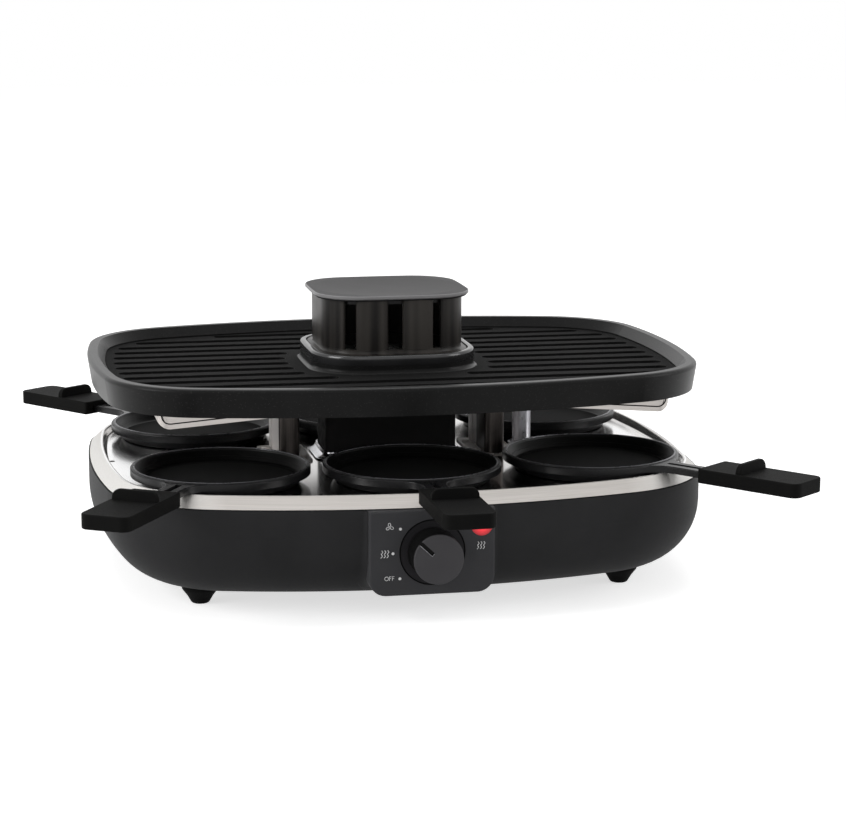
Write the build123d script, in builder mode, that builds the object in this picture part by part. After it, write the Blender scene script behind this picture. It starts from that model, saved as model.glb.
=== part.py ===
from build123d import *
import os
from math import atan2, cos, degrees, hypot, radians, sin, sqrt

# Raclette grill with a smoke extractor in its base.
# Origin: centre of the footprint, on the surface that the feet stand on.
# Axes: +X to the right of the control panel, -Y towards the panel, +Z up. Millimetres.
# Every bowed outline is four wide arcs joined by four tangent corner arcs.

# General
overrun = 2.0
flat_gap = 0.2
fit_gap = 0.3
sheet = 1.2
shaft_clearance = 0.05
half_turn = 180.0

# Feet
foot_span_x = 283.2
foot_span_y = 190.0
foot_height = 12.0
foot_top_r = 12.0
foot_bottom_r = 7.5
foot_edge = 1.5
foot_stem_r = 3.0
foot_stem_length = 6.0

# Steel tray, its band and the outline that the housing follows
tray_half_x = 203.8
tray_half_y = 169.9
tray_bow_long = 522.4
tray_bow_side = 616.5
tray_corner = 85.2
band_width = 7.6
band_rise = 7.3
band_crest = 1.2
crest_slope = 2.2
tray_drop = 5.9
peg_slot_x = 190.0
peg_slot_length = 5.0
peg_slot_width = 3.6

# Base housing
housing_height = 62.0
housing_wall = 2.5
housing_proud = 1.0
housing_round = 44.0
rim_gap = 0.6
boss_r = 5.0
boss_x = 122.0
boss_y = 108.0

# Bottom cover
cover_length = 236.0
cover_width = 168.0
cover_corner = 14.0
cover_thickness = 2.0
cover_slot_length = 34.0
cover_slot_width = 3.0
cover_slot_pitch = 8.0
cover_slot_rows = 9
cover_slot_offset = 68.0
cover_screw_inset = 7.0
cover_screw_r = 1.5
cover_screw_head_r = 3.0
cover_screw_head = 1.6
cover_screw_length = 7.0
cover_lip = 14.0
cover_rib = 3.0
cover_lip_height = 5.5

# Control panel and knob
panel_x = -3.75
panel_half_x = 40.3
panel_front_y = 175.0
panel_bottom_z = 19.4
panel_corner = 11.0
panel_wall = 2.5
panel_face = 4.0
panel_edge = 1.2
knob_z = 46.9
knob_ring_r = 20.75
knob_ring_depth = 2.0
knob_skirt_gap = 0.4
knob_skirt_step = 0.2
knob_r = 16.0
knob_length = 20.0
knob_edge = 0.9
knob_groove_length = 11.4
knob_groove_width = 2.4
knob_groove_depth = 1.0
knob_pointer_angle = 137.0
knob_bore_depth = 12.0

# Rotary switch
switch_size = 24.0
switch_depth = 16.0
switch_bush_r = 5.0
switch_nut_r = 7.0
switch_nut_depth = 2.0
switch_shaft_r = 3.0
switch_shaft_seat = 9.0
switch_tabs = 3
switch_tab_width = 3.0
switch_tab_length = 7.0
switch_tab_thickness = 0.8

# Indicator
lamp_x = 28.1
lamp_z = 63.2
lens_r = 7.1
lens_gap = 0.05
lens_dome = 1.0
lens_flange = 0.9
lens_flange_depth = 1.4
pilot_r = 3.0
pilot_length = 12.0

# Cord gland at the rear
gland_x = -60.0
gland_z = 52.0
gland_r = 7.0
gland_bore_r = 3.8
gland_flange_r = 10.0
gland_flange = 2.0
gland_pad_r = 11.5
gland_pad_proud = 1.6
gland_pad_depth = 11.0

# Rear air grille
grille_slots = 6
grille_pitch = 6.0
grille_slot_width = 3.4
grille_slot_height = 20.0

# Fan: housing, motor and wheel
scroll_r = 58.0
scroll_wall = 2.0
scroll_flange_x = 60.0
scroll_flange_y = 158.0
scroll_screw_x = 22.0
scroll_screw_rear_x = 6.0
scroll_screw_r = 1.5
scroll_screw_head_r = 2.8
scroll_screw_head = 1.8
scroll_screw_length = 6.0
scroll_screw_inset = 4.0
scroll_top_z = 58.0
scroll_outlet_inner_x = 18.0
motor_r = 22.0
motor_height = 12.0
motor_foot_r = 30.0
motor_foot_thickness = 2.0
motor_screw_count = 4
motor_screw_turn = 45.0
motor_screw_r = 1.5
motor_screw_head_r = 2.8
motor_screw_head = 1.8
motor_screw_length = 5.0
fan_shaft_r = 2.5
fan_shaft_length = 22.0
fan_wheel_r = 50.0
fan_blade_inner_r = 38.0
fan_blade_count = 18
fan_blade_thickness = 1.4
fan_blade_lean = 32.0
fan_blade_height = 14.5
fan_ring = 1.2
fan_ring_inner_r = 44.0
fan_disc = 2.0
fan_hub_r = 7.0
fan_hub_height = 8.0
fan_gap = 1.0

# Tower duct, its collar and the funnel on top
duct_half_x = 45.5
duct_half_y = 22.5
duct_corner = 6.0
duct_wall = 1.6
duct_bottom_z = 66.0
duct_top_z = 126.0
collar_width = 7.0
collar_height = 5.5
collar_sheet = 1.0
collar_waist_share = 0.3
funnel_wall = 1.2
funnel_half = 46.5
funnel_corner = 30.0

# Sheet steel posts
post_half_x = 7.0
post_half_y = 27.0
post_centre_x = 71.5
post_flare = 4.5
post_flare_height = 14.0
post_plate = 1.5
post_foot_length = 9.0
post_foot_thickness = 1.5
post_foot_corner = 3.0
post_screw_y = 15.0
post_screw_r = 1.5
post_screw_head_r = 2.6
post_screw_head = 1.6
post_screw_below = 3.0

# Wiring conduit
conduit_x = 98.0
conduit_y = 5.0
conduit_r = 6.5
conduit_wall = 1.0
conduit_ring_r = 9.5
conduit_ring_height = 3.0
conduit_below = 8.0

# Reflector frame under the plate, and the two bridges across it
frame_inset_x = 34.7
frame_inset_y = 38.1
frame_fold_x = 92.0
frame_middle_z = 124.5
frame_drop = 6.0
frame_corner = 9.0
frame_wall = 1.0
frame_side_round = 8.0
frame_flange = 14.0
frame_groove_inset = 3.0
frame_groove_width = 1.0
frame_groove_depth = 0.4
bridge_z = 124.5
bridge_width = 22.0
bridge_tab = 8.0

# Heating element
element_r = 4.0
element_inset_x = 24.0
element_inset_y = 29.0
element_bend = 22.0
element_lead_spacing = 14.0
terminal_end_x = 110.0
terminal_length = 44.0
terminal_width = 28.0
terminal_height = 9.0
clip_width = 8.0
clip_thickness = 0.8
clip_gap = 0.1
clip_foot = 5.0
cutout_length = 16.0
cutout_width = 10.0
cutout_height = 5.0
cutout_y = 42.0
cutout_edge = 1.0
terminal_edge = 2.0

# Wiring terminal block in the base
wiring_inset = 6.0
wiring_y = 25.0
wiring_length = 40.0
wiring_width = 15.0
wiring_height = 14.0
wiring_poles = 4
wiring_pole_r = 2.5
wiring_pole_depth = 6.0

# Grill plate
plate_half_x = 204.7
plate_half_y = 151.1
plate_bow_long = 573.5
plate_bow_side = 504.4
plate_corner = 72.1
plate_skirt_z = 129.1
plate_top_z = 147.6
plate_draft = 2.8
plate_skirt_wall = 4.0
plate_edge = 2.5
rim_top_inset = 7.6
rim_foot_inset = 12.5
rim_step = 1.0
cook_z = 140.0
cook_thickness = 4.5
groove_pitch = 20.5
groove_rows = 6
groove_width = 9.5
groove_depth = 2.2
groove_margin = 18.0
plate_lug_width = 10.0
plate_lug_depth = 3.0
plate_lug_height = 4.0
plate_lug_gap = 0.5
plate_lug_x = 100.0
plate_lug_y = 60.0

# Raised neck round the plate's centre opening
neck_half = 56.5
neck_corner = 35.0
neck_top_z = 152.3
neck_edge = 1.5
neck_foot = 3.0
neck_seat_half = 52.6
neck_seat_gap = 0.7
neck_seat_depth = 2.6
neck_bore_half = 44.4
neck_groove_gap = 11.0
rounded_square_bow = 700.0

# Smoke hood
hood_half = 48.3
hood_corner = 30.0
hood_wall = 4.0
hood_top_z = 188.2
hood_flange = 2.4
hood_skirt = 9.0
hood_skirt_wall = 2.0
hood_base_band = 3.0
hood_slot_centre = 9.5
hood_slot_shift = 2.4
hood_slot_wide = 8.5
hood_slot_narrow = 6.0
hood_slot_wide_angle = 31.0
hood_slot_narrow_angle = 17.0
hood_ledge = 1.5
filter_thickness = 2.0
filter_slot_width = 4.0
filter_slot_pitch = 9.0
filter_slots = 7
filter_margin = 7.0
filter_ledge = 2.0

# Lid
lid_half_x = 53.2
lid_half_y = 50.6
lid_corner = 31.0
lid_height = 3.6
lid_chamfer = 1.6
lid_edge = 0.8
lid_dish = 1.6
lid_dish_r = 50.0
lid_plug_wall = 2.0
lid_plug_height = 2.8

# Pans
pan_rim_r = 59.0
pan_rim_inner_r = 56.6
pan_height = 10.8
pan_band = 4.9
pan_body_r = 53.4
pan_base_r = 48.5
pan_floor = 2.6
pan_floor_r = 47.0
pan_lip = 1.2
pan_edge = 0.7
pan_base_edge = 1.5
pan_floor_edge = 3.0
pan_stand = 0.3
arm_half_width = 7.5
arm_thickness = 4.6
arm_flare_r = 18.0
arm_slot_width = 4.4
arm_slot_inner = 62.5
arm_slot_outer = 92.0
tang_half_width = 5.5
tang_thickness = 3.4
tang_end = 150.0
pan_corner_x = 125.2
pan_corner_y = 78.0
pan_middle_y = 90.6
handle_angle_narrow = 31.0
handle_angle_middle = 0.6
handle_angle_wide = 38.6

# Grips
grip_inner = 96.1
grip_length = 74.0
grip_half_width = 16.4
grip_thickness = 9.4
grip_top_above_rim = 3.7
grip_corner = 6.0
grip_inner_corner = 2.0
grip_edge = 0.8
grip_mouth_half = 9.5
grip_mouth_depth = 6.0
grip_mouth_height = 5.0
tang_gap = 0.1
ridge_place = 30.0
ridge_height = 6.5
ridge_base = 4.6
ridge_tip = 3.0
ridge_half_width = 15.0
ridge_corner = 5.0
ridge_edge = 0.6
grip_screw_r = 1.6
grip_screw_head_r = 3.2
grip_screw_head = 1.6
grip_screw_place = 24.0
grip_screw_gap = 0.1

# Levels and outlines worked out from the sizes above
housing_top_z = foot_height + housing_height
tray_edge_z = housing_top_z + rim_gap
crest_z = tray_edge_z + band_rise
field_z = crest_z - tray_drop
field_under_z = field_z - sheet
floor_top_z = foot_height + housing_wall
pan_bottom_z = field_z + pan_stand
cook_under_z = cook_z - cook_thickness
lid_top_z = hood_top_z + lid_height
frame_half_x = plate_half_x - frame_inset_x
frame_half_y = plate_half_y - frame_inset_y
element_half_x = frame_half_x - element_inset_x
element_half_y = frame_half_y - element_inset_y
wiring_x = cover_length / 2 - wiring_inset

TRAY = (tray_half_x, tray_half_y, tray_bow_long, tray_bow_side, tray_corner)
PLATE = (plate_half_x, plate_half_y, plate_bow_long, plate_bow_side, plate_corner)
LID = (lid_half_x, lid_half_y, rounded_square_bow, rounded_square_bow, lid_corner)


def inset(outline, distance):
    """The parallel outline, this far inside."""
    return tuple(size - distance for size in outline)


def square_outline(half, corner):
    """A bowed outline with equal sides."""
    return (half, half, rounded_square_bow, rounded_square_bow, corner)


def touches(outline):
    """Centre of the corner arc, and where it meets the long arc and the side arc."""
    half_x, half_y, bow_long, bow_side, corner = outline
    long_centre = (0, half_y - bow_long)
    side_centre = (half_x - bow_side, 0)
    reach_long = bow_long - corner
    reach_side = bow_side - corner
    span_x = side_centre[0] - long_centre[0]
    span_y = side_centre[1] - long_centre[1]
    span = hypot(span_x, span_y)
    along = (span**2 + reach_long**2 - reach_side**2) / (2 * span)
    across = sqrt(reach_long**2 - along**2)
    centre = (
        long_centre[0] + (along * span_x - across * span_y) / span,
        long_centre[1] + (along * span_y + across * span_x) / span,
    )
    if centre[0] < 0 or centre[1] < 0:
        centre = (
            long_centre[0] + (along * span_x + across * span_y) / span,
            long_centre[1] + (along * span_y - across * span_x) / span,
        )
    long_touch = tuple(a + (c - a) * bow_long / reach_long for a, c in zip(long_centre, centre))
    side_touch = tuple(a + (c - a) * bow_side / reach_side for a, c in zip(side_centre, centre))
    return centre, long_touch, side_touch


def reach_x(outline, y):
    """Half the outline's width at this distance from its middle line."""
    half_x, half_y, bow_long, bow_side, corner = outline
    centre, long_touch, side_touch = touches(outline)
    if abs(y) <= side_touch[1]:
        return half_x - bow_side + sqrt(bow_side**2 - y**2)
    if abs(y) <= long_touch[1]:
        return centre[0] + sqrt(corner**2 - (abs(y) - centre[1]) ** 2)
    return sqrt(max(bow_long**2 - (abs(y) - half_y + bow_long) ** 2, 0))


def reach_y(outline, x):
    """Half the outline's depth at this distance from its middle line."""
    half_x, half_y, bow_long, bow_side, corner = outline
    return reach_x((half_y, half_x, bow_side, bow_long, corner), x)


def bowed(outline):
    """Draws a bowed outline in the sketch that calls it."""
    half_x, half_y, bow_long, bow_side, corner = outline
    centre, (long_x, long_y), (side_x, side_y) = touches(outline)
    middle = atan2(long_y + side_y - 2 * centre[1], long_x + side_x - 2 * centre[0])
    corner_x = centre[0] + corner * cos(middle)
    corner_y = centre[1] + corner * sin(middle)
    with BuildLine() as edge:
        ThreePointArc((-long_x, long_y), (0, half_y), (long_x, long_y))
        ThreePointArc((long_x, long_y), (corner_x, corner_y), (side_x, side_y))
        ThreePointArc((side_x, side_y), (half_x, 0), (side_x, -side_y))
        ThreePointArc((side_x, -side_y), (corner_x, -corner_y), (long_x, -long_y))
        ThreePointArc((long_x, -long_y), (0, -half_y), (-long_x, -long_y))
        ThreePointArc((-long_x, -long_y), (-corner_x, -corner_y), (-side_x, -side_y))
        ThreePointArc((-side_x, -side_y), (-half_x, 0), (-side_x, side_y))
        ThreePointArc((-side_x, side_y), (-corner_x, corner_y), (-long_x, long_y))
    make_face(edge.edges())


def prism(outline, low_z, high_z, mode=Mode.ADD):
    """A bowed outline extruded between two levels, in the part that calls it."""
    with BuildSketch(Plane.XY.offset(low_z)) as foot:
        bowed(outline)
    extrude(foot.sketch, amount=high_z - low_z, mode=mode)


def taper(low_outline, low_z, high_outline, high_z, mode=Mode.ADD):
    """A ruled loft between two bowed outlines, in the part that calls it."""
    with BuildSketch(Plane.XY.offset(low_z)) as low:
        bowed(low_outline)
    with BuildSketch(Plane.XY.offset(high_z)) as high:
        bowed(high_outline)
    loft([low.sketch.face(), high.sketch.face()], ruled=True, mode=mode)


def duct_outline(level, grow=0):
    """A face with the duct's outline, grown by this much."""
    with BuildSketch(Plane.XY.offset(level)) as outline:
        RectangleRounded(2 * (duct_half_x + grow), 2 * (duct_half_y + grow), duct_corner + grow)
    return outline.sketch.face()


def keep(part, name):
    """Labels a finished piece and writes its STEP file."""
    part.label = name
    export_step(part, f"parts/{name}.step")


os.makedirs("parts", exist_ok=True)

# Base housing: a tub with a deep round along its bottom edge
HOUSING = inset(TRAY, -housing_proud)
lip_top_z = foot_height + cover_thickness + cover_lip_height
scroll_screw_y = scroll_flange_y / 2 - scroll_screw_inset
scroll_screw_places = [
    (-scroll_screw_x, -scroll_screw_y),
    (scroll_screw_x, -scroll_screw_y),
    (-scroll_screw_x, scroll_screw_y),
    (scroll_screw_rear_x, scroll_screw_y),
]
panel_cut_z = panel_bottom_z - flat_gap
panel_cut_half = panel_half_x + flat_gap
panel_reach = cover_width / 2 + cover_lip
foot_x = foot_span_x / 2
foot_y = foot_span_y / 2
foot_places = {
    "front_left": (-foot_x, -foot_y),
    "front_right": (foot_x, -foot_y),
    "rear_left": (-foot_x, foot_y),
    "rear_right": (foot_x, foot_y),
}
boss_places = [(x, y) for x in (-boss_x, boss_x) for y in (-boss_y, boss_y)]
cover_screw_x = cover_length / 2 - cover_screw_inset
cover_screw_y = cover_width / 2 - cover_screw_inset
cover_screw_places = [
    (x, y) for x in (-cover_screw_x, 0, cover_screw_x) for y in (-cover_screw_y, cover_screw_y)
]
outlet_centre_x = (scroll_outlet_inner_x + scroll_r) / 2
wheel_z = lip_top_z + scroll_wall + motor_foot_thickness + motor_height + fan_gap
grille_z = wheel_z + fan_blade_height / 2
gland_face_y = reach_y(HOUSING, abs(gland_x) - gland_pad_r) + gland_pad_proud


def housing_cavity(gap, mode):
    """The hollow of the housing less a gap, to cut or to trim with."""
    with BuildPart(mode=Mode.PRIVATE) as hollow:
        prism(inset(HOUSING, housing_wall + gap), floor_top_z + gap, housing_top_z + overrun)
        fillet(hollow.edges().group_by(Axis.Z)[0], housing_round - housing_wall - gap)
    add(hollow.part, mode=mode)


with BuildPart() as base_housing:
    prism(HOUSING, foot_height, housing_top_z)
    fillet(base_housing.edges().group_by(Axis.Z)[0], housing_round)
    housing_cavity(0, Mode.SUBTRACT)
    with BuildSketch(Plane.XY.offset(foot_height)):
        with Locations(*foot_places.values()):
            Circle(foot_top_r)
    extrude(amount=housing_wall + foot_stem_length)
    with BuildSketch(Plane.XY.offset(foot_height)):
        with Locations(*boss_places):
            Circle(boss_r)
    extrude(amount=field_under_z - foot_height)
    with BuildSketch(Plane.XY.offset(foot_height)):
        RectangleRounded(
            cover_length + 2 * cover_rib, cover_width + 2 * cover_rib, cover_corner + cover_rib
        )
    extrude(amount=lip_top_z - foot_height)
    with BuildSketch(Plane.XY.offset(foot_height)):
        RectangleRounded(
            cover_length - 2 * cover_lip, cover_width - 2 * cover_lip, cover_corner / 2
        )
    extrude(amount=lip_top_z - foot_height, mode=Mode.SUBTRACT)
    with BuildSketch(Plane.XY.offset(foot_height)):
        RectangleRounded(
            cover_length + 2 * flat_gap, cover_width + 2 * flat_gap, cover_corner + flat_gap
        )
    extrude(amount=cover_thickness, mode=Mode.SUBTRACT)
    with BuildSketch(Plane.XY.offset(foot_height)):
        with Locations(*foot_places.values()):
            Circle(foot_stem_r)
    extrude(amount=foot_stem_length, mode=Mode.SUBTRACT)
    with BuildSketch(Plane.XY.offset(foot_height)):
        with Locations(*cover_screw_places):
            Circle(cover_screw_r + shaft_clearance)
    extrude(amount=cover_screw_length, mode=Mode.SUBTRACT)
    with BuildSketch(Plane.XY.offset(lip_top_z)):
        with Locations(*scroll_screw_places):
            Circle(scroll_screw_r + shaft_clearance)
    extrude(amount=scroll_wall - scroll_screw_length, mode=Mode.SUBTRACT)
    with BuildSketch(Plane.XZ.offset(panel_front_y)):
        with Locations((panel_x, (panel_cut_z + housing_top_z + overrun) / 2)):
            Rectangle(2 * panel_cut_half, housing_top_z + overrun - panel_cut_z)
    extrude(amount=panel_reach - panel_front_y, mode=Mode.SUBTRACT)
    with BuildSketch(Plane.XZ.offset(-gland_face_y)):
        with Locations((gland_x, gland_z)):
            Circle(gland_pad_r)
    extrude(amount=gland_pad_depth)
    with BuildSketch(Plane.XZ.offset(-gland_face_y)):
        with Locations((gland_x, gland_z)):
            Circle(gland_r)
    extrude(amount=gland_pad_depth, mode=Mode.SUBTRACT)
    with BuildSketch(Plane.XZ.offset(-tray_half_y - overrun)):
        with Locations((outlet_centre_x, grille_z)):
            with GridLocations(grille_pitch, 0, grille_slots, 1):
                SlotOverall(grille_slot_height, grille_slot_width, rotation=90)
    extrude(amount=2 * grille_slot_height, mode=Mode.SUBTRACT)
keep(base_housing.part, "base_housing")

# Bottom cover with rows of air slots, and its six screws
with BuildPart() as bottom_cover:
    with BuildSketch(Plane.XY.offset(foot_height)):
        RectangleRounded(cover_length, cover_width, cover_corner)
        with Locations((-cover_slot_offset, 0), (cover_slot_offset, 0)):
            with GridLocations(0, cover_slot_pitch, 1, cover_slot_rows):
                SlotOverall(cover_slot_length, cover_slot_width, mode=Mode.SUBTRACT)
        with Locations(*cover_screw_places):
            Circle(cover_screw_r + shaft_clearance, mode=Mode.SUBTRACT)
    extrude(amount=cover_thickness)
keep(bottom_cover.part, "bottom_cover")

with BuildPart() as bottom_screws:
    with BuildSketch(Plane.XY.offset(foot_height)):
        with Locations(*cover_screw_places):
            Circle(cover_screw_head_r)
    extrude(amount=-cover_screw_head)
    with BuildSketch(Plane.XY.offset(foot_height)):
        with Locations(*cover_screw_places):
            Circle(cover_screw_r)
    extrude(amount=cover_screw_length)
keep(bottom_screws.part, "bottom_screws")

# Rubber feet, plugged into the floor
with BuildPart() as foot:
    with BuildSketch(Plane.XZ):
        with BuildLine():
            Polyline(
                (0, 0),
                (foot_bottom_r, 0),
                (foot_top_r, foot_height),
                (foot_stem_r - shaft_clearance, foot_height),
                (foot_stem_r - shaft_clearance, foot_height + foot_stem_length - flat_gap),
                (0, foot_height + foot_stem_length - flat_gap),
                close=True,
            )
        make_face()
    revolve(axis=Axis.Z)
    fillet(foot.edges().group_by(Axis.Z)[0], foot_edge)
for place, (x, y) in foot_places.items():
    keep(foot.part.moved(Location((x, y, 0))), f"foot_{place}")

# Steel tray: sloped band, crest, shallow field and the hole for the duct
crest_inset = band_width + band_crest
field_inset = crest_inset + crest_slope
band_slope = band_width / band_rise
inner_slope = crest_slope / tray_drop
band_under = sheet * hypot(1, band_slope)
slope_under = field_inset - sheet * hypot(1, inner_slope)
crest_under_z = crest_z - band_under
post_tab_x = post_half_x + post_foot_length / 2
post_screw_places = [
    (side * post_centre_x + tab, y)
    for side in (-1, 1)
    for tab in (-post_tab_x, post_tab_x)
    for y in (-post_screw_y, post_screw_y)
]
with BuildPart() as under_crest:
    taper(
        inset(TRAY, band_under), tray_edge_z,
        inset(TRAY, band_under + (crest_under_z - tray_edge_z) * band_slope), crest_under_z,
    )
    taper(
        inset(TRAY, slope_under + (field_z - tray_edge_z) * inner_slope), tray_edge_z,
        inset(TRAY, slope_under - (crest_under_z - field_z) * inner_slope), crest_under_z,
        Mode.SUBTRACT,
    )
with BuildPart() as steel_tray:
    taper(TRAY, tray_edge_z, inset(TRAY, band_width), crest_z)
    taper(inset(TRAY, field_inset), field_z, inset(TRAY, crest_inset), crest_z, Mode.SUBTRACT)
    add(under_crest.part, mode=Mode.SUBTRACT)
    prism(inset(TRAY, band_under), tray_edge_z, field_under_z, Mode.SUBTRACT)
    extrude(duct_outline(field_under_z, fit_gap), amount=sheet, mode=Mode.SUBTRACT)
    with BuildSketch(Plane.XY.offset(field_under_z)):
        with Locations((conduit_x, conduit_y)):
            Circle(conduit_r + fit_gap)
        with Locations((-peg_slot_x, 0), (peg_slot_x, 0)):
            SlotOverall(peg_slot_length, peg_slot_width, rotation=90)
        with Locations(*post_screw_places):
            Circle(post_screw_r + shaft_clearance)
    extrude(amount=sheet, mode=Mode.SUBTRACT)
keep(steel_tray.part, "steel_tray")

# Control panel: a box let into the housing wall and trimmed to its inner face
panel_middle_z = (panel_bottom_z + housing_top_z) / 2
panel_height = housing_top_z - panel_bottom_z
with BuildPart() as control_panel:
    with BuildSketch(Plane.XZ.offset(panel_front_y)) as panel_face_sketch:
        with Locations((panel_x, panel_middle_z)):
            Rectangle(2 * panel_half_x, panel_height)
        fillet(panel_face_sketch.vertices().group_by(Axis.Y)[0], panel_corner)
    extrude(amount=panel_reach - panel_front_y)
    fillet(control_panel.faces().sort_by(Axis.Y)[0].edges(), panel_edge)
    with BuildSketch(Plane.XZ.offset(panel_front_y - panel_face)) as panel_hollow:
        with Locations((panel_x, panel_middle_z)):
            Rectangle(2 * (panel_half_x - panel_wall), panel_height - 2 * panel_wall)
        fillet(panel_hollow.vertices().group_by(Axis.Y)[0], panel_corner - panel_wall)
    extrude(amount=panel_reach - panel_front_y, mode=Mode.SUBTRACT)
    housing_cavity(0, Mode.SUBTRACT)
    with BuildSketch(Plane.XZ.offset(panel_front_y)):
        with Locations((panel_x, knob_z)):
            Circle(knob_ring_r)
    extrude(amount=-knob_ring_depth, mode=Mode.SUBTRACT)
    with BuildSketch(Plane.XZ.offset(panel_front_y)):
        with Locations((panel_x, knob_z)):
            Circle(switch_bush_r + shaft_clearance)
        with Locations((lamp_x, lamp_z)):
            Circle(lens_r + lens_gap)
    extrude(amount=-panel_face, mode=Mode.SUBTRACT)
keep(control_panel.part, "control_panel")

# Indicator lens with its retaining flange, flat beside the panel's wall, and the pilot lamp
lamp_plane = Plane(origin=(lamp_x, -panel_front_y, lamp_z), x_dir=(1, 0, 0), z_dir=(0, 0, 1))
lamp_axis = Axis((lamp_x, 0, lamp_z), (0, 1, 0))
lens_back = panel_face + lens_flange_depth
with BuildPart() as indicator_lens:
    with BuildSketch(lamp_plane):
        with BuildLine():
            dome_run = lens_r - shaft_clearance
            Polyline(
                (dome_run, 0),
                (dome_run, panel_face),
                (lens_r + lens_flange, panel_face),
                (lens_r + lens_flange, lens_back),
                (0, lens_back),
                (0, -lens_dome),
            )
            ThreePointArc(
                (0, -lens_dome), (dome_run / 2, -lens_dome * (1 - (1 / 2) ** 2)), (dome_run, 0)
            )
        make_face()
    revolve(axis=lamp_axis)
    with BuildSketch(Plane.XZ.offset(panel_front_y - panel_face)):
        with Locations((panel_x + panel_half_x - panel_wall - shaft_clearance, lamp_z)):
            Rectangle(lens_r, 2 * (lens_r + lens_flange), align=(Align.MIN, Align.CENTER))
    extrude(amount=-lens_flange_depth, mode=Mode.SUBTRACT)
keep(indicator_lens.part, "indicator_lens")

with BuildPart() as pilot_lamp:
    with BuildSketch(Plane.XZ.offset(panel_front_y - lens_back)):
        with Locations((lamp_x, lamp_z)):
            Circle(pilot_r)
    extrude(amount=-pilot_length)
    fillet(pilot_lamp.faces().sort_by(Axis.Y)[-1].edges(), pilot_r / 2)
keep(pilot_lamp.part, "pilot_lamp")

# Rotary switch with its bush, nut and tabs
switch_face_y = panel_front_y - panel_face
switch_back_y = switch_face_y - switch_depth
with BuildPart() as rotary_switch:
    with BuildSketch(Plane.XZ.offset(switch_face_y)):
        with Locations((panel_x, knob_z)):
            RectangleRounded(switch_size, switch_size, switch_tab_width)
    extrude(amount=-switch_depth)
    with BuildSketch(Plane.XZ.offset(switch_face_y)):
        with Locations((panel_x, knob_z)):
            Circle(switch_bush_r)
    extrude(amount=panel_face - knob_ring_depth + switch_nut_depth)
    with BuildSketch(Plane.XZ.offset(switch_face_y - switch_shaft_seat)):
        with Locations((panel_x, knob_z)):
            Circle(switch_shaft_r + shaft_clearance)
    extrude(amount=switch_shaft_seat + panel_face + overrun, mode=Mode.SUBTRACT)
    with BuildSketch(Plane.XZ.offset(switch_back_y)):
        with Locations((panel_x, knob_z)):
            with GridLocations(switch_size / switch_tabs, 0, switch_tabs, 1):
                Rectangle(switch_tab_thickness, switch_tab_width)
    extrude(amount=-switch_tab_length)
keep(rotary_switch.part, "rotary_switch")

with BuildPart() as switch_nut:
    with BuildSketch(Plane.XZ.offset(panel_front_y - knob_ring_depth)):
        with Locations((panel_x, knob_z)):
            RegularPolygon(switch_nut_r, 6)
            Circle(switch_bush_r + shaft_clearance, mode=Mode.SUBTRACT)
    extrude(amount=switch_nut_depth)
keep(switch_nut.part, "switch_nut")

# Switch shaft and the knob on it
knob_back_y = panel_front_y - knob_ring_depth + knob_skirt_gap
knob_front_y = panel_front_y + knob_length
knob_bore_y = panel_front_y + knob_bore_depth
knob_hollow_r = switch_nut_r + knob_ring_depth
knob_hollow_y = panel_front_y + switch_nut_depth
with BuildPart() as switch_shaft:
    with BuildSketch(Plane.XZ.offset(switch_face_y - switch_shaft_seat + flat_gap)):
        with Locations((panel_x, knob_z)):
            Circle(switch_shaft_r)
    extrude(amount=knob_bore_y - switch_face_y + switch_shaft_seat - 2 * flat_gap)
keep(switch_shaft.part, "switch_shaft")

with BuildPart() as control_knob:
    with BuildSketch(Plane.XZ.offset(knob_back_y)):
        with Locations((panel_x, knob_z)):
            Circle(knob_ring_r - knob_skirt_gap)
    extrude(amount=panel_front_y + knob_skirt_step - knob_back_y)
    with BuildSketch(Plane.XZ.offset(panel_front_y)):
        with Locations((panel_x, knob_z)):
            Circle(knob_r)
    extrude(amount=knob_length)
    fillet(control_knob.faces().sort_by(Axis.Y)[0].edges(), knob_edge)
    with BuildSketch(Plane.XZ.offset(knob_back_y)):
        with Locations((panel_x, knob_z)):
            Circle(knob_hollow_r)
    extrude(amount=knob_hollow_y - knob_back_y, mode=Mode.SUBTRACT)
    with BuildSketch(Plane.XZ.offset(knob_back_y)):
        with Locations((panel_x, knob_z)):
            Circle(switch_shaft_r + shaft_clearance)
    extrude(amount=knob_bore_y - knob_back_y, mode=Mode.SUBTRACT)
    pointer_reach = knob_r - knob_groove_length / 2 + overrun / 2
    pointer = radians(knob_pointer_angle)
    with BuildSketch(Plane.XZ.offset(knob_front_y)):
        with Locations(
            (panel_x + pointer_reach * cos(pointer), knob_z + pointer_reach * sin(pointer))
        ):
            Rectangle(knob_groove_length + overrun, knob_groove_width, rotation=knob_pointer_angle)
    extrude(amount=-knob_groove_depth, mode=Mode.SUBTRACT)
keep(control_knob.part, "control_knob")

# Cord gland in its pad on the rear wall
with BuildPart() as cord_gland:
    with BuildSketch(Plane.XZ.offset(-gland_face_y - gland_flange)):
        with Locations((gland_x, gland_z)):
            Circle(gland_flange_r)
    extrude(amount=gland_flange)
    with BuildSketch(Plane.XZ.offset(-gland_face_y)):
        with Locations((gland_x, gland_z)):
            Circle(gland_r - shaft_clearance)
    extrude(amount=gland_pad_depth)
    with BuildSketch(Plane.XZ.offset(-gland_face_y - gland_flange)):
        with Locations((gland_x, gland_z)):
            Circle(gland_bore_r)
    extrude(amount=gland_flange + gland_pad_depth, mode=Mode.SUBTRACT)
keep(cord_gland.part, "cord_gland")

# Fan housing: a round chamber with an outlet to the rear grille and a neck to the duct
motor_screw_ring = (motor_r + motor_foot_r) / 2
outlet_width = scroll_r - scroll_outlet_inner_x


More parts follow.
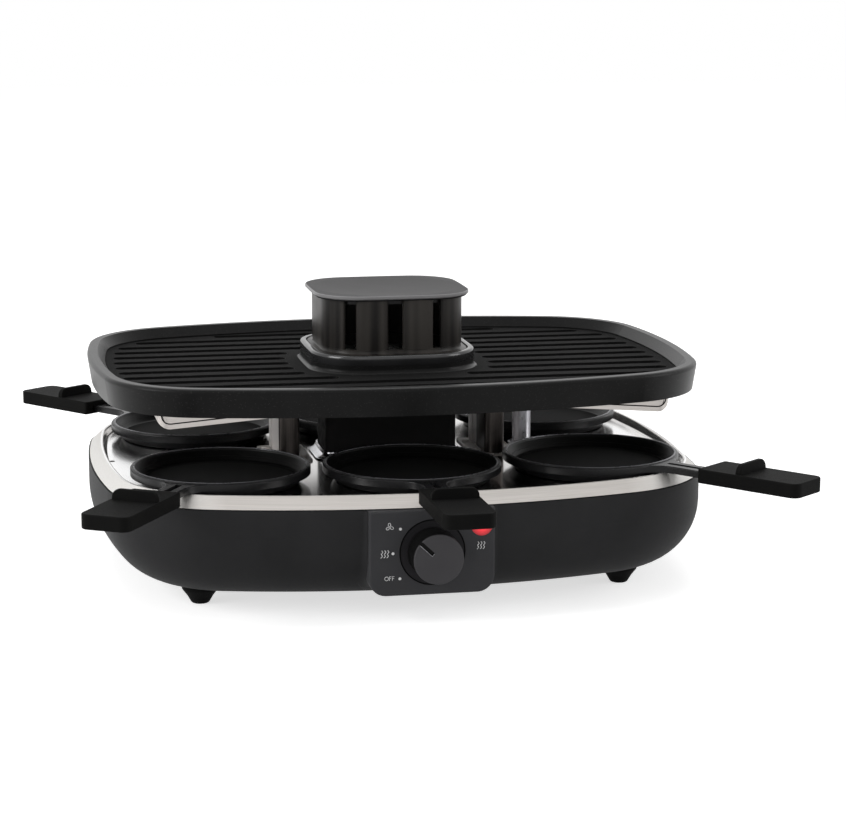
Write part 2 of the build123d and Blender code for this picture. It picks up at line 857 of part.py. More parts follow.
def chamber(shrink, low_z, high_z, mode):
    """The fan chamber with its outlet, this much smaller than outside."""
    with BuildSketch(Plane.XY.offset(low_z)) as plan:
        Circle(scroll_r - shrink)
        with Locations((outlet_centre_x, tray_half_y / 2)):
            Rectangle(outlet_width - 2 * shrink, tray_half_y)
    extrude(plan.sketch, amount=high_z - low_z, mode=mode)


with BuildPart() as fan_housing:
    chamber(0, lip_top_z, scroll_top_z, Mode.ADD)
    chamber(scroll_wall, lip_top_z + scroll_wall, scroll_top_z - scroll_wall, Mode.SUBTRACT)
    with BuildSketch(Plane.XY.offset(lip_top_z)):
        Rectangle(scroll_flange_x, scroll_flange_y)
        with Locations(*scroll_screw_places):
            Circle(scroll_screw_r + shaft_clearance, mode=Mode.SUBTRACT)
    extrude(amount=scroll_wall)
    with BuildSketch(Plane.XY.offset(lip_top_z)):
        with PolarLocations(motor_screw_ring, motor_screw_count, start_angle=motor_screw_turn):
            Circle(motor_screw_r + shaft_clearance)
    extrude(amount=scroll_wall, mode=Mode.SUBTRACT)
    extrude(duct_outline(scroll_top_z), amount=duct_bottom_z - scroll_top_z)
    extrude(
        duct_outline(scroll_top_z - scroll_wall, -duct_wall),
        amount=duct_bottom_z - scroll_top_z + scroll_wall,
        mode=Mode.SUBTRACT,
    )
    housing_cavity(fit_gap, Mode.INTERSECT)
keep(fan_housing.part, "fan_housing")

with BuildPart() as fan_housing_screws:
    with BuildSketch(Plane.XY.offset(lip_top_z + scroll_wall)):
        with Locations(*scroll_screw_places):
            Circle(scroll_screw_head_r)
    extrude(amount=scroll_screw_head)
    with BuildSketch(Plane.XY.offset(lip_top_z + scroll_wall)):
        with Locations(*scroll_screw_places):
            Circle(scroll_screw_r)
    extrude(amount=-scroll_screw_length)
keep(fan_housing_screws.part, "fan_housing_screws")

# Fan motor on its foot plate, the shaft and the bladed wheel
motor_foot_z = lip_top_z + scroll_wall
motor_base_z = motor_foot_z + motor_foot_thickness
with BuildPart() as fan_motor:
    with BuildSketch(Plane.XY.offset(motor_foot_z)):
        Circle(motor_foot_r)
        with PolarLocations(motor_screw_ring, motor_screw_count, start_angle=motor_screw_turn):
            Circle(motor_screw_r + shaft_clearance, mode=Mode.SUBTRACT)
    extrude(amount=motor_foot_thickness)
    with BuildSketch(Plane.XY.offset(motor_base_z)):
        Circle(motor_r)
    extrude(amount=motor_height)
    fillet(fan_motor.faces().sort_by(Axis.Z)[-1].edges(), motor_foot_thickness)
    with BuildSketch(Plane.XY.offset(motor_base_z)):
        Circle(fan_shaft_r + shaft_clearance)
    extrude(amount=motor_height, mode=Mode.SUBTRACT)
keep(fan_motor.part, "fan_motor")

with BuildPart() as motor_screws:
    with BuildSketch(Plane.XY.offset(motor_base_z)):
        with PolarLocations(motor_screw_ring, motor_screw_count, start_angle=motor_screw_turn):
            Circle(motor_screw_head_r)
    extrude(amount=motor_screw_head)
    with BuildSketch(Plane.XY.offset(motor_base_z)):
        with PolarLocations(motor_screw_ring, motor_screw_count, start_angle=motor_screw_turn):
            Circle(motor_screw_r)
    extrude(amount=-motor_screw_length)
keep(motor_screws.part, "motor_screws")

with BuildPart() as fan_shaft:
    with BuildSketch(Plane.XY.offset(motor_base_z + flat_gap)):
        Circle(fan_shaft_r)
    extrude(amount=fan_shaft_length)
keep(fan_shaft.part, "fan_shaft")

blade_z = wheel_z + fan_disc
blade_ring_r = (fan_wheel_r + fan_blade_inner_r) / 2
blade_chord = (fan_wheel_r - fan_blade_inner_r) / cos(radians(fan_blade_lean)) - fan_blade_thickness
with BuildPart() as fan_wheel:
    with BuildSketch(Plane.XY.offset(wheel_z)):
        Circle(fan_wheel_r)
        Circle(fan_shaft_r + shaft_clearance, mode=Mode.SUBTRACT)
    extrude(amount=fan_disc)
    with BuildSketch(Plane.XY.offset(blade_z)):
        Circle(fan_hub_r)
        Circle(fan_shaft_r + shaft_clearance, mode=Mode.SUBTRACT)
    extrude(amount=fan_hub_height)
    with BuildSketch(Plane.XY.offset(blade_z)):
        with PolarLocations(blade_ring_r, fan_blade_count):
            Rectangle(blade_chord, fan_blade_thickness, rotation=fan_blade_lean)
    extrude(amount=fan_blade_height)
    with BuildSketch(Plane.XY.offset(blade_z + fan_blade_height)):
        Circle(fan_wheel_r)
        Circle(fan_ring_inner_r, mode=Mode.SUBTRACT)
    extrude(amount=fan_ring)
keep(fan_wheel.part, "fan_wheel")

# Tower duct
with BuildPart() as tower_duct:
    extrude(duct_outline(duct_bottom_z), amount=duct_top_z - duct_bottom_z)
    extrude(
        duct_outline(duct_bottom_z, -duct_wall),
        amount=duct_top_z - duct_bottom_z,
        mode=Mode.SUBTRACT,
    )
keep(tower_duct.part, "tower_duct")

# Flared collar round the foot of the duct
collar_foot_z = field_z + collar_sheet
collar_top_z = field_z + collar_height
collar_waist_z = collar_foot_z + (collar_top_z - collar_foot_z) * collar_waist_share
collar_foot = fit_gap + collar_width
collar_top = fit_gap + collar_sheet
collar_waist = collar_top + (collar_foot - collar_top) * collar_waist_share
with BuildPart() as duct_collar:
    extrude(duct_outline(field_z, collar_foot), amount=collar_sheet)
    loft(
        [
            duct_outline(collar_foot_z, collar_foot),
            duct_outline(collar_waist_z, collar_waist),
            duct_outline(collar_top_z, collar_top),
        ],
        ruled=True,
    )
    extrude(duct_outline(field_z, fit_gap), amount=collar_height, mode=Mode.SUBTRACT)
keep(duct_collar.part, "duct_collar")

# Funnel from the duct's oblong mouth to the square opening under the plate
funnel_top_z = cook_under_z - flat_gap


def funnel_mouth(level, shrink):
    """The funnel's upper outline, this much smaller."""
    with BuildSketch(Plane.XY.offset(level)) as mouth:
        bowed(square_outline(funnel_half - shrink, funnel_corner - shrink))
    return mouth.sketch.face()


with BuildPart() as smoke_funnel:
    loft([duct_outline(duct_top_z), funnel_mouth(funnel_top_z, 0)])
    extrude(duct_outline(duct_top_z, -duct_wall), amount=funnel_wall, mode=Mode.SUBTRACT)
    loft(
        [
            duct_outline(duct_top_z + funnel_wall, -duct_wall),
            funnel_mouth(funnel_top_z + funnel_wall, funnel_wall),
        ],
        mode=Mode.SUBTRACT,
    )
keep(smoke_funnel.part, "smoke_funnel")

# Sheet steel posts beside the duct, flared like a trumpet at the top
flare_z = bridge_z - post_flare_height
flare_r = (post_flare_height**2 + post_flare**2) / (2 * post_flare)


def post_profile(shrink, high_z):
    """The post seen from the front, this much smaller, from the tray up to this level."""
    narrow = post_half_x - shrink
    arc_r = flare_r + shrink
    wide = narrow + arc_r - sqrt(arc_r**2 - (high_z - flare_z) ** 2)
    with BuildSketch(Plane.XZ) as profile:
        with BuildLine() as edge:
            Polyline((-narrow, flare_z), (-narrow, field_z), (narrow, field_z), (narrow, flare_z))
            TangentArc((narrow, flare_z), (wide, high_z), tangent=(0, 1))
            Line((wide, high_z), (-wide, high_z))
            TangentArc((-narrow, flare_z), (-wide, high_z), tangent=(0, 1))
        make_face(edge.edges())
    return profile.sketch


with BuildPart() as post:
    extrude(post_profile(0, bridge_z), amount=post_half_y, both=True)
    with BuildSketch(Plane.XY.offset(field_z)):
        RectangleRounded(
            2 * (post_half_x + post_foot_length), 2 * post_half_y, post_foot_corner
        )
    extrude(amount=post_foot_thickness)
    extrude(
        post_profile(post_plate, bridge_z - post_plate),
        amount=post_half_y - post_plate,
        both=True,
        mode=Mode.SUBTRACT,
    )
    with BuildSketch(Plane.XY.offset(field_z)):
        with GridLocations(2 * post_tab_x, 2 * post_screw_y, 2, 2):
            Circle(post_screw_r + shaft_clearance)
    extrude(amount=post_foot_thickness, mode=Mode.SUBTRACT)
for place, x in {"left": -post_centre_x, "right": post_centre_x}.items():
    keep(post.part.moved(Location((x, 0, 0))), f"post_{place}")

with BuildPart() as post_screws:
    with BuildSketch(Plane.XY.offset(field_z + post_foot_thickness)):
        with Locations(*post_screw_places):
            Circle(post_screw_head_r)
    extrude(amount=post_screw_head)
    with BuildSketch(Plane.XY.offset(field_under_z - post_screw_below)):
        with Locations(*post_screw_places):
            Circle(post_screw_r)
    extrude(amount=post_screw_below + sheet + post_foot_thickness)
keep(post_screws.part, "post_screws")

# Wiring conduit from the base up to the element, with a ring on the tray
with BuildPart() as cable_conduit:
    with BuildSketch(Plane.XY.offset(field_z - conduit_below)):
        with Locations((conduit_x, conduit_y)):
            Circle(conduit_r)
            Circle(conduit_r - conduit_wall, mode=Mode.SUBTRACT)
    extrude(amount=bridge_z + sheet - field_z + conduit_below)
keep(cable_conduit.part, "cable_conduit")

with BuildPart() as conduit_ring:
    with BuildSketch(Plane.XY.offset(field_z)):
        with Locations((conduit_x, conduit_y)):
            Circle(conduit_ring_r)
    extrude(amount=conduit_ring_height)
    fillet(conduit_ring.edges().group_by(Axis.Z)[-1], conduit_ring_height / 2)
    with BuildSketch(Plane.XY.offset(field_z)):
        with Locations((conduit_x, conduit_y)):
            Circle(conduit_r + shaft_clearance)
    extrude(amount=conduit_ring_height, mode=Mode.SUBTRACT)
keep(conduit_ring.part, "conduit_ring")

# Frame under the plate: four walls, a flange for the plate and a groove along each long wall
frame_corner_z = frame_middle_z - frame_drop
frame_inner_y = frame_half_y - frame_wall
frame_slope = frame_drop / (frame_half_x - frame_fold_x)


def frame_side(shrink, plane):
    """The frame's long wall with its folded lower edge, this much inside its border."""
    end_x = frame_half_x - shrink
    middle_z = frame_middle_z + shrink
    end_z = middle_z - (end_x - frame_fold_x) * frame_slope
    with BuildSketch(plane) as wall:
        with BuildLine():
            Polyline(
                (-end_x, cook_under_z),
                (-end_x, end_z),
                (-frame_fold_x, middle_z),
                (frame_fold_x, middle_z),
                (end_x, end_z),
                (end_x, cook_under_z),
                close=True,
            )
        make_face()
        fillet(wall.vertices().group_by(Axis.Y)[0], frame_corner - shrink)
    return wall.sketch


frame_front = Plane.XZ.offset(frame_half_y)
groove_inner = frame_groove_inset + frame_groove_width
with BuildPart() as reflector_frame:
    extrude(frame_side(0, Plane.XZ), amount=frame_half_y)
    extrude(
        frame_side(frame_groove_inset, frame_front),
        amount=-frame_groove_depth,
        mode=Mode.SUBTRACT,
    )
    extrude(frame_side(groove_inner, frame_front), amount=-frame_groove_depth)
    mirror(about=Plane.XZ)
    with BuildSketch(Plane.XY.offset(frame_corner_z)):
        RectangleRounded(2 * frame_half_x, 2 * frame_half_y, frame_side_round)
    extrude(amount=cook_under_z - frame_corner_z, mode=Mode.INTERSECT)
    with BuildSketch(Plane.XY.offset(frame_corner_z)):
        RectangleRounded(
            2 * (frame_half_x - frame_wall), 2 * frame_inner_y, frame_side_round - frame_wall
        )
    extrude(amount=cook_under_z - frame_wall - frame_corner_z, mode=Mode.SUBTRACT)
    with BuildSketch(Plane.XY.offset(cook_under_z)):
        RectangleRounded(
            2 * (frame_half_x - frame_flange), 2 * (frame_half_y - frame_flange), frame_side_round
        )
    extrude(amount=-frame_wall, mode=Mode.SUBTRACT)
keep(reflector_frame.part, "reflector_frame")

# Two bridges across the frame, standing on the posts
with BuildPart() as frame_bridges:
    with BuildSketch(Plane.XY.offset(bridge_z)):
        with Locations((-post_centre_x, 0), (post_centre_x, 0)):
            Rectangle(bridge_width, 2 * frame_inner_y)
    extrude(amount=sheet)
    with BuildSketch(Plane.XY.offset(bridge_z)):
        with GridLocations(2 * post_centre_x, 2 * frame_inner_y - sheet, 2, 2):
            Rectangle(bridge_width, sheet)
    extrude(amount=bridge_tab)
keep(frame_bridges.part, "frame_bridges")

# Tubular heating element, its clips and its terminal block
bridge_top_z = bridge_z + sheet
element_z = bridge_top_z + flat_gap + element_r
lead_low_y = conduit_y - element_lead_spacing / 2
lead_high_y = conduit_y + element_lead_spacing / 2
with BuildPart() as heating_element:
    with BuildLine() as element_path:
        FilletPolyline(
            (terminal_end_x, lead_high_y, element_z),
            (element_half_x, lead_high_y, element_z),
            (element_half_x, element_half_y, element_z),
            (-element_half_x, element_half_y, element_z),
            (-element_half_x, -element_half_y, element_z),
            (element_half_x, -element_half_y, element_z),
            (element_half_x, lead_low_y, element_z),
            (terminal_end_x, lead_low_y, element_z),
            radius=element_bend,
        )
    with BuildSketch(Plane(element_path.line @ 0, z_dir=element_path.line % 0)):
        Circle(element_r)
    sweep()
keep(heating_element.part, "heating_element")

clip_inner_r = element_r + clip_gap
clip_outer_r = clip_inner_r + clip_thickness
clip_places = [(-element_half_y, element_z), (element_half_y, element_z)]
clip_feet = [(-element_half_y, bridge_top_z), (element_half_y, bridge_top_z)]
clip_planes = [Plane.YZ.offset(x - clip_width / 2) for x in (-post_centre_x, post_centre_x)]
with BuildPart() as element_clips:
    with BuildSketch(*clip_planes):
        with Locations(*clip_places):
            Circle(clip_outer_r)
        with Locations(*clip_feet):
            Rectangle(2 * clip_outer_r, element_z - bridge_top_z, align=(Align.CENTER, Align.MIN))
            Rectangle(
                2 * (clip_outer_r + clip_foot), clip_thickness, align=(Align.CENTER, Align.MIN)
            )
            Rectangle(
                2 * clip_inner_r, element_z - bridge_top_z,
                align=(Align.CENTER, Align.MIN), mode=Mode.SUBTRACT,
            )
            Rectangle(
                2 * clip_outer_r, clip_outer_r,
                align=(Align.CENTER, Align.MAX), mode=Mode.SUBTRACT,
            )
        with Locations(*clip_places):
            Circle(clip_inner_r, mode=Mode.SUBTRACT)
    extrude(amount=clip_width)
keep(element_clips.part, "element_clips")

with BuildPart() as element_terminal_block:
    with BuildSketch(Plane.XY.offset(bridge_top_z)):
        with Locations((terminal_end_x - terminal_length / 2, conduit_y)):
            RectangleRounded(terminal_length, terminal_width, terminal_edge)
    extrude(amount=terminal_height)
    fillet(element_terminal_block.edges().group_by(Axis.Z)[-1], terminal_edge / 2)
keep(element_terminal_block.part, "element_terminal_block")

with BuildPart() as thermal_cutout:
    with BuildSketch(Plane.XY.offset(bridge_top_z)):
        with Locations((-post_centre_x, cutout_y)):
            RectangleRounded(cutout_width, cutout_length, cutout_edge)
    extrude(amount=cutout_height)
    fillet(thermal_cutout.edges().group_by(Axis.Z)[-1], cutout_edge / 2)
keep(thermal_cutout.part, "thermal_cutout")

# Mains terminal block on the floor ring of the base
with BuildPart() as wiring_terminal_block:
    with BuildSketch(Plane.XY.offset(lip_top_z)):
        with Locations((wiring_x, wiring_y)):
            Rectangle(wiring_width, wiring_length)
    extrude(amount=wiring_height)
    with BuildSketch(Plane.XY.offset(lip_top_z + wiring_height)):
        with Locations((wiring_x, wiring_y)):
            with GridLocations(0, wiring_length / wiring_poles, 1, wiring_poles):
                Circle(wiring_pole_r)
    extrude(amount=-wiring_pole_depth, mode=Mode.SUBTRACT)
keep(wiring_terminal_block.part, "wiring_terminal_block")

# Grill plate: tapered skirt, dished rim, raised neck and rows of grooves
NECK = square_outline(neck_half, neck_corner)
NECK_SEAT = inset(NECK, neck_half - neck_seat_half)
NECK_BORE = inset(NECK, neck_half - neck_bore_half)
neck_seat_z = neck_top_z - neck_seat_depth
plate_taper = plate_draft / (plate_top_z - plate_skirt_z)
plate_hollow_inset = plate_skirt_wall + (plate_top_z - cook_under_z) * plate_taper
groove_reach = inset(PLATE, groove_margin)
groove_stop = inset(NECK, -neck_groove_gap)
groove_end = groove_width / 2
grooves = []
for row in range(-groove_rows, groove_rows + 1):
    y = row * groove_pitch
    outer_x = reach_x(groove_reach, y)
    if abs(y) - groove_end < groove_stop[1]:
        inner_x = reach_x(groove_stop, min(abs(y), groove_stop[1] - groove_end))
        grooves.append((-(inner_x + outer_x) / 2, y, outer_x - inner_x))
        grooves.append(((inner_x + outer_x) / 2, y, outer_x - inner_x))
    else:
        grooves.append((0, y, 2 * outer_x))
with BuildPart() as grill_plate:
    taper(inset(PLATE, plate_draft), plate_skirt_z, PLATE, plate_top_z)
    fillet(grill_plate.edges().group_by(Axis.Z)[-1], plate_edge)
    taper(
        inset(PLATE, plate_draft + plate_skirt_wall), plate_skirt_z,
        inset(PLATE, plate_hollow_inset), cook_under_z, Mode.SUBTRACT,
    )
    taper(
        inset(PLATE, rim_foot_inset), cook_z + rim_step,
        inset(PLATE, rim_top_inset), plate_top_z, Mode.SUBTRACT,
    )
    prism(inset(PLATE, rim_foot_inset), cook_z, cook_z + rim_step, Mode.SUBTRACT)
    prism(NECK, cook_z, neck_top_z)
    fillet(grill_plate.edges().group_by(Axis.Z)[-1], neck_edge)
    field_edges = grill_plate.edges().filter_by_position(Axis.Z, cook_z, cook_z)
    fillet(field_edges.sort_by_distance((0, 0, cook_z))[:8], neck_foot)
    prism(NECK_SEAT, neck_seat_z, neck_top_z, Mode.SUBTRACT)
    prism(NECK_BORE, cook_under_z, neck_top_z, Mode.SUBTRACT)
    with BuildSketch(Plane.XY.offset(cook_z)):
        for x, y, length in grooves:
            with Locations((x, y)):
                SlotOverall(length, groove_width)
    extrude(amount=-groove_depth, mode=Mode.SUBTRACT)
    lug_x = frame_half_x + plate_lug_gap + plate_lug_depth / 2
    lug_y = frame_half_y + plate_lug_gap + plate_lug_depth / 2
    with BuildSketch(Plane.XY.offset(cook_under_z)):
        with GridLocations(2 * lug_x, 2 * plate_lug_y, 2, 2):
            Rectangle(plate_lug_depth, plate_lug_width)
        with GridLocations(2 * plate_lug_x, 2 * lug_y, 2, 2):
            Rectangle(plate_lug_width, plate_lug_depth)
    extrude(amount=-plate_lug_height)
keep(grill_plate.part, "grill_plate")

# Smoke hood: staves on a flange, open between at the top, with a skirt that fits the neck
HOOD = square_outline(hood_half, hood_corner)
HOOD_FLANGE = inset(NECK_SEAT, neck_seat_gap)
HOOD_SKIRT = inset(NECK_BORE, fit_gap)
HOOD_HOLLOW = inset(HOOD_SKIRT, hood_skirt_wall)
flange_top_z = neck_seat_z + hood_flange
skirt_bottom_z = neck_seat_z - hood_skirt
slot_low_z = flange_top_z + hood_base_band
corner_centre = touches(HOOD)[0][0]
corner_slots = [
    (-corner_centre, -corner_centre, -hood_slot_wide_angle, hood_slot_wide, Align.MAX),
    (corner_centre, -corner_centre, hood_slot_narrow_angle, hood_slot_narrow, Align.MAX),
    (-corner_centre, corner_centre, hood_slot_narrow_angle, hood_slot_narrow, Align.MIN),
    (corner_centre, corner_centre, -hood_slot_wide_angle, hood_slot_wide, Align.MIN),
]
centre_slots = [(-hood_slot_shift, Align.MAX), (hood_slot_shift, Align.MIN)]
with BuildPart() as smoke_hood:
    prism(HOOD, flange_top_z, hood_top_z)
    prism(HOOD_FLANGE, neck_seat_z, flange_top_z)
    prism(HOOD_SKIRT, skirt_bottom_z, neck_seat_z)
    prism(inset(HOOD, hood_wall), flange_top_z, hood_top_z, Mode.SUBTRACT)
    prism(HOOD_HOLLOW, skirt_bottom_z + filter_ledge, flange_top_z, Mode.SUBTRACT)
    prism(
        inset(HOOD_HOLLOW, hood_ledge), skirt_bottom_z, skirt_bottom_z + filter_ledge,
        Mode.SUBTRACT,
    )
    with BuildSketch(Plane.XY.offset(slot_low_z)):
        for x, side in centre_slots:
            with Locations((x, 0)):
                Rectangle(hood_slot_centre, hood_half + overrun, align=(Align.CENTER, side))
        for x, y, angle, width, side in corner_slots:
            with Locations(Location((x, y), angle)):
                Rectangle(width, hood_corner + overrun, align=(Align.CENTER, side))
    extrude(amount=hood_top_z + overrun - slot_low_z, mode=Mode.SUBTRACT)
keep(smoke_hood.part, "smoke_hood")

with BuildPart() as grease_filter:
    prism(
        inset(HOOD_HOLLOW, flat_gap), skirt_bottom_z + filter_ledge,
        skirt_bottom_z + filter_ledge + filter_thickness,
    )
    with BuildSketch(Plane.XY.offset(skirt_bottom_z + filter_ledge)):
        with GridLocations(0, filter_slot_pitch, 1, filter_slots):
            SlotOverall(2 * (HOOD_HOLLOW[0] - filter_margin), filter_slot_width)
    extrude(amount=filter_thickness, mode=Mode.SUBTRACT)
keep(grease_filter.part, "grease_filter")

# Lid of the hood: dished on top, with a plug ring below
LID_PLUG = inset(HOOD, hood_wall + fit_gap)
dish_r = (lid_dish_r**2 + lid_dish**2) / (2 * lid_dish)
with BuildPart() as hood_lid:
    prism(LID, hood_top_z, lid_top_z)
    chamfer(hood_lid.edges().group_by(Axis.Z)[0], lid_chamfer)
    fillet(hood_lid.edges().group_by(Axis.Z)[-1], lid_edge)
    with Locations((0, 0, lid_top_z - lid_dish + dish_r)):
        Sphere(dish_r, mode=Mode.SUBTRACT)
    prism(LID_PLUG, hood_top_z - lid_plug_height, hood_top_z)
    prism(
        inset(LID_PLUG, lid_plug_wall), hood_top_z - lid_plug_height, hood_top_z, Mode.SUBTRACT
    )
keep(hood_lid.part, "hood_lid")

# Pan, its grip and the screw that holds them, drawn with the handle towards -Y
band_low = pan_height - pan_band
flare_x = arm_half_width + arm_flare_r
flare_y = sqrt((pan_rim_r + arm_flare_r) ** 2 - flare_x**2)
flare_share = pan_rim_r / (pan_rim_r + arm_flare_r)
arm_end = grip_inner + grip_mouth_depth - flat_gap
arm_low = pan_height - arm_thickness
tang_low = pan_height - (arm_thickness + tang_thickness) / 2
screw_y = grip_inner + grip_screw_place
with BuildPart() as pan:
    with BuildSketch(Plane.XZ):
        with BuildLine():
            Polyline(
                (0, 0),
                (pan_base_r, 0),
                (pan_body_r, band_low),
                (pan_rim_r, band_low),
                (pan_rim_r, pan_height),
                (0, pan_height),
                close=True,
            )
        make_face()
    revolve(axis=Axis.Z)
    with BuildSketch(Plane.XY.offset(arm_low)):
        with BuildLine():
            rim_right = Vector(flare_x, -flare_y) * flare_share
            rim_left = Vector(-flare_x, -flare_y) * flare_share
            arm_right = Vector(arm_half_width, -flare_y)
            arm_left = Vector(-arm_half_width, -flare_y)
            TangentArc(arm_right, rim_right, tangent=(0, 1))
            Line(rim_right, rim_left)
            TangentArc(arm_left, rim_left, tangent=(0, 1))
            Polyline(
                arm_left, (-arm_half_width, -arm_end), (arm_half_width, -arm_end), arm_right
            )
        make_face()
    extrude(amount=arm_thickness)
    fillet(pan.edges().group_by(Axis.Z)[-1].sort_by(Axis.Y)[1:], pan_edge)
    fillet(pan.edges().group_by(Axis.Z)[0], pan_base_edge)
    with BuildSketch(Plane.XY.offset(tang_low)):
        with Locations((0, -arm_end)):
            Rectangle(
                2 * tang_half_width, tang_end - arm_end, align=(Align.CENTER, Align.MAX)
            )
    extrude(amount=tang_thickness)
    with BuildSketch(Plane.XZ):
        with BuildLine():
            Polyline(
                (0, pan_floor),
                (pan_floor_r, pan_floor),
                (pan_rim_inner_r, pan_height - pan_lip),
                (pan_rim_inner_r, pan_height + overrun),
                (0, pan_height + overrun),
                close=True,
            )
        make_face()
    revolve(axis=Axis.Z, mode=Mode.SUBTRACT)
    floor_edges = pan.edges().filter_by(GeomType.CIRCLE)
    fillet(floor_edges.filter_by_position(Axis.Z, pan_floor, pan_floor), pan_floor_edge)
    with BuildSketch(Plane.XY.offset(arm_low)):
        with Locations((0, -(arm_slot_inner + arm_slot_outer) / 2)):
            SlotOverall(arm_slot_outer - arm_slot_inner, arm_slot_width, rotation=90)
        with Locations((0, -screw_y)):
            Circle(grip_screw_r + grip_screw_gap)
    extrude(amount=arm_thickness, mode=Mode.SUBTRACT)

grip_low = pan_height + grip_top_above_rim - grip_thickness
grip_high = grip_low + grip_thickness
grip_outer = grip_inner + grip_length
mouth_low = arm_low + (arm_thickness - grip_mouth_height) / 2
screw_top = tang_low + tang_thickness + grip_screw_head
with BuildPart() as grip:
    with BuildSketch(Plane.XY.offset(grip_low)) as grip_plan:
        with Locations((0, -(grip_inner + grip_outer) / 2)):
            Rectangle(2 * grip_half_width, grip_length)
        fillet(grip_plan.vertices().group_by(Axis.Y)[0], grip_corner)
        fillet(grip_plan.vertices().group_by(Axis.Y)[-1], grip_inner_corner)
    extrude(amount=grip_thickness)
    fillet(grip.faces().filter_by(Axis.Z).edges(), grip_edge)
    with BuildSketch(Plane.YZ):
        with BuildLine():
            ridge_y = -(grip_inner + ridge_place)
            Polyline(
                (ridge_y - ridge_base / 2, grip_high),
                (ridge_y + ridge_base / 2, grip_high),
                (ridge_y + ridge_tip / 2, grip_high + ridge_height),
                (ridge_y - ridge_tip / 2, grip_high + ridge_height),
                close=True,
            )
        make_face()
    extrude(amount=ridge_half_width, both=True)
    fillet(grip.edges().group_by(Axis.Z)[-1].filter_by(Axis.Y), ridge_corner)
    fillet(grip.edges().group_by(Axis.Z)[-1], ridge_edge)
    with BuildSketch(Plane.XZ.offset(grip_inner)):
        with Locations((0, mouth_low)):
            Rectangle(
                2 * grip_mouth_half, grip_mouth_height, align=(Align.CENTER, Align.MIN)
            )
    extrude(amount=grip_mouth_depth, mode=Mode.SUBTRACT)
    with BuildSketch(Plane.XZ.offset(grip_inner)):
        with Locations((0, tang_low - tang_gap)):
            Rectangle(
                2 * (tang_half_width + tang_gap), tang_thickness + 2 * tang_gap,
                align=(Align.CENTER, Align.MIN),
            )
    extrude(amount=tang_end + flat_gap - grip_inner, mode=Mode.SUBTRACT)
    with BuildSketch(Plane.XY.offset(grip_low)):
        with Locations((0, -screw_y)):
            Circle(grip_screw_r + grip_screw_gap)
    extrude(amount=screw_top + flat_gap - grip_low, mode=Mode.SUBTRACT)
    with BuildSketch(Plane.XY.offset(grip_low)):
        with Locations((0, -screw_y)):
            Circle(grip_screw_head_r + grip_screw_gap)
    extrude(amount=grip_screw_head, mode=Mode.SUBTRACT)

with BuildPart() as grip_screw:
    with BuildSketch(Plane.XY.offset(grip_low)):
        with Locations((0, -screw_y)):
            Circle(grip_screw_head_r)
    extrude(amount=grip_screw_head)
    with BuildSketch(Plane.XY.offset(grip_low)):
        with Locations((0, -screw_y)):
            Circle(grip_screw_r)
    extrude(amount=screw_top - grip_low)

pan_places = {
    "front_left": (-pan_corner_x, -pan_corner_y, -handle_angle_narrow),
    "front_middle": (0, -pan_middle_y, handle_angle_middle),
    "front_right": (pan_corner_x, -pan_corner_y, handle_angle_wide),
    "rear_left": (-pan_corner_x, pan_corner_y, half_turn + handle_angle_wide),
    "rear_middle": (0, pan_middle_y, half_turn + handle_angle_middle),
    "rear_right": (pan_corner_x, pan_corner_y, half_turn - handle_angle_narrow),
}
for place, (x, y, turn) in pan_places.items():
    seat = Location((x, y, pan_bottom_z), (0, 0, turn))
    keep(pan.part.moved(seat), f"pan_{place}")
    keep(grip.part.moved(seat), f"grip_{place}")
    keep(grip_screw.part.moved(seat), f"grip_screw_{place}")
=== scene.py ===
import math

import bmesh
import bpy
from mathutils import Matrix, Vector


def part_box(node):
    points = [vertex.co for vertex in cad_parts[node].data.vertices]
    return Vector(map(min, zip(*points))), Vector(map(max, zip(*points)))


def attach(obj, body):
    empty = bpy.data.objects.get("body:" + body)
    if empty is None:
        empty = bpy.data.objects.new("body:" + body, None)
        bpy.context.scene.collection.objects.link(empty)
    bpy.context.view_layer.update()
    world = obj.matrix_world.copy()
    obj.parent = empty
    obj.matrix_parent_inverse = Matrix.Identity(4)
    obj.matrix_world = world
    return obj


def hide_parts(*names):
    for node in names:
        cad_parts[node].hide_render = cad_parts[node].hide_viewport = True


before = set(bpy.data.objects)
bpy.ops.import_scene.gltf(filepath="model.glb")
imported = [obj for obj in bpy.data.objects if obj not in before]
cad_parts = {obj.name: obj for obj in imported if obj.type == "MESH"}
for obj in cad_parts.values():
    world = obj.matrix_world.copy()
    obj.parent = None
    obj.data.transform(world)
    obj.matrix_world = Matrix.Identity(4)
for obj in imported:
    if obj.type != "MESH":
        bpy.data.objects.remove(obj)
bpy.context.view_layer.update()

# Camera: fitted to the photograph's outlines of the tray, the plate and the pans
IMAGE_WIDTH = 846
FOCAL_PIXELS = 2398.81
CAMERA_AZIMUTH = math.radians(-10.82)
CAMERA_ELEVATION = math.radians(10.97)
CAMERA_DISTANCE = 1.66607
CAMERA_TARGET = Vector((0, 0, 0.1))
CAMERA_SHIFT = (0.04368, 0.00388)
SENSOR_WIDTH = 36.0

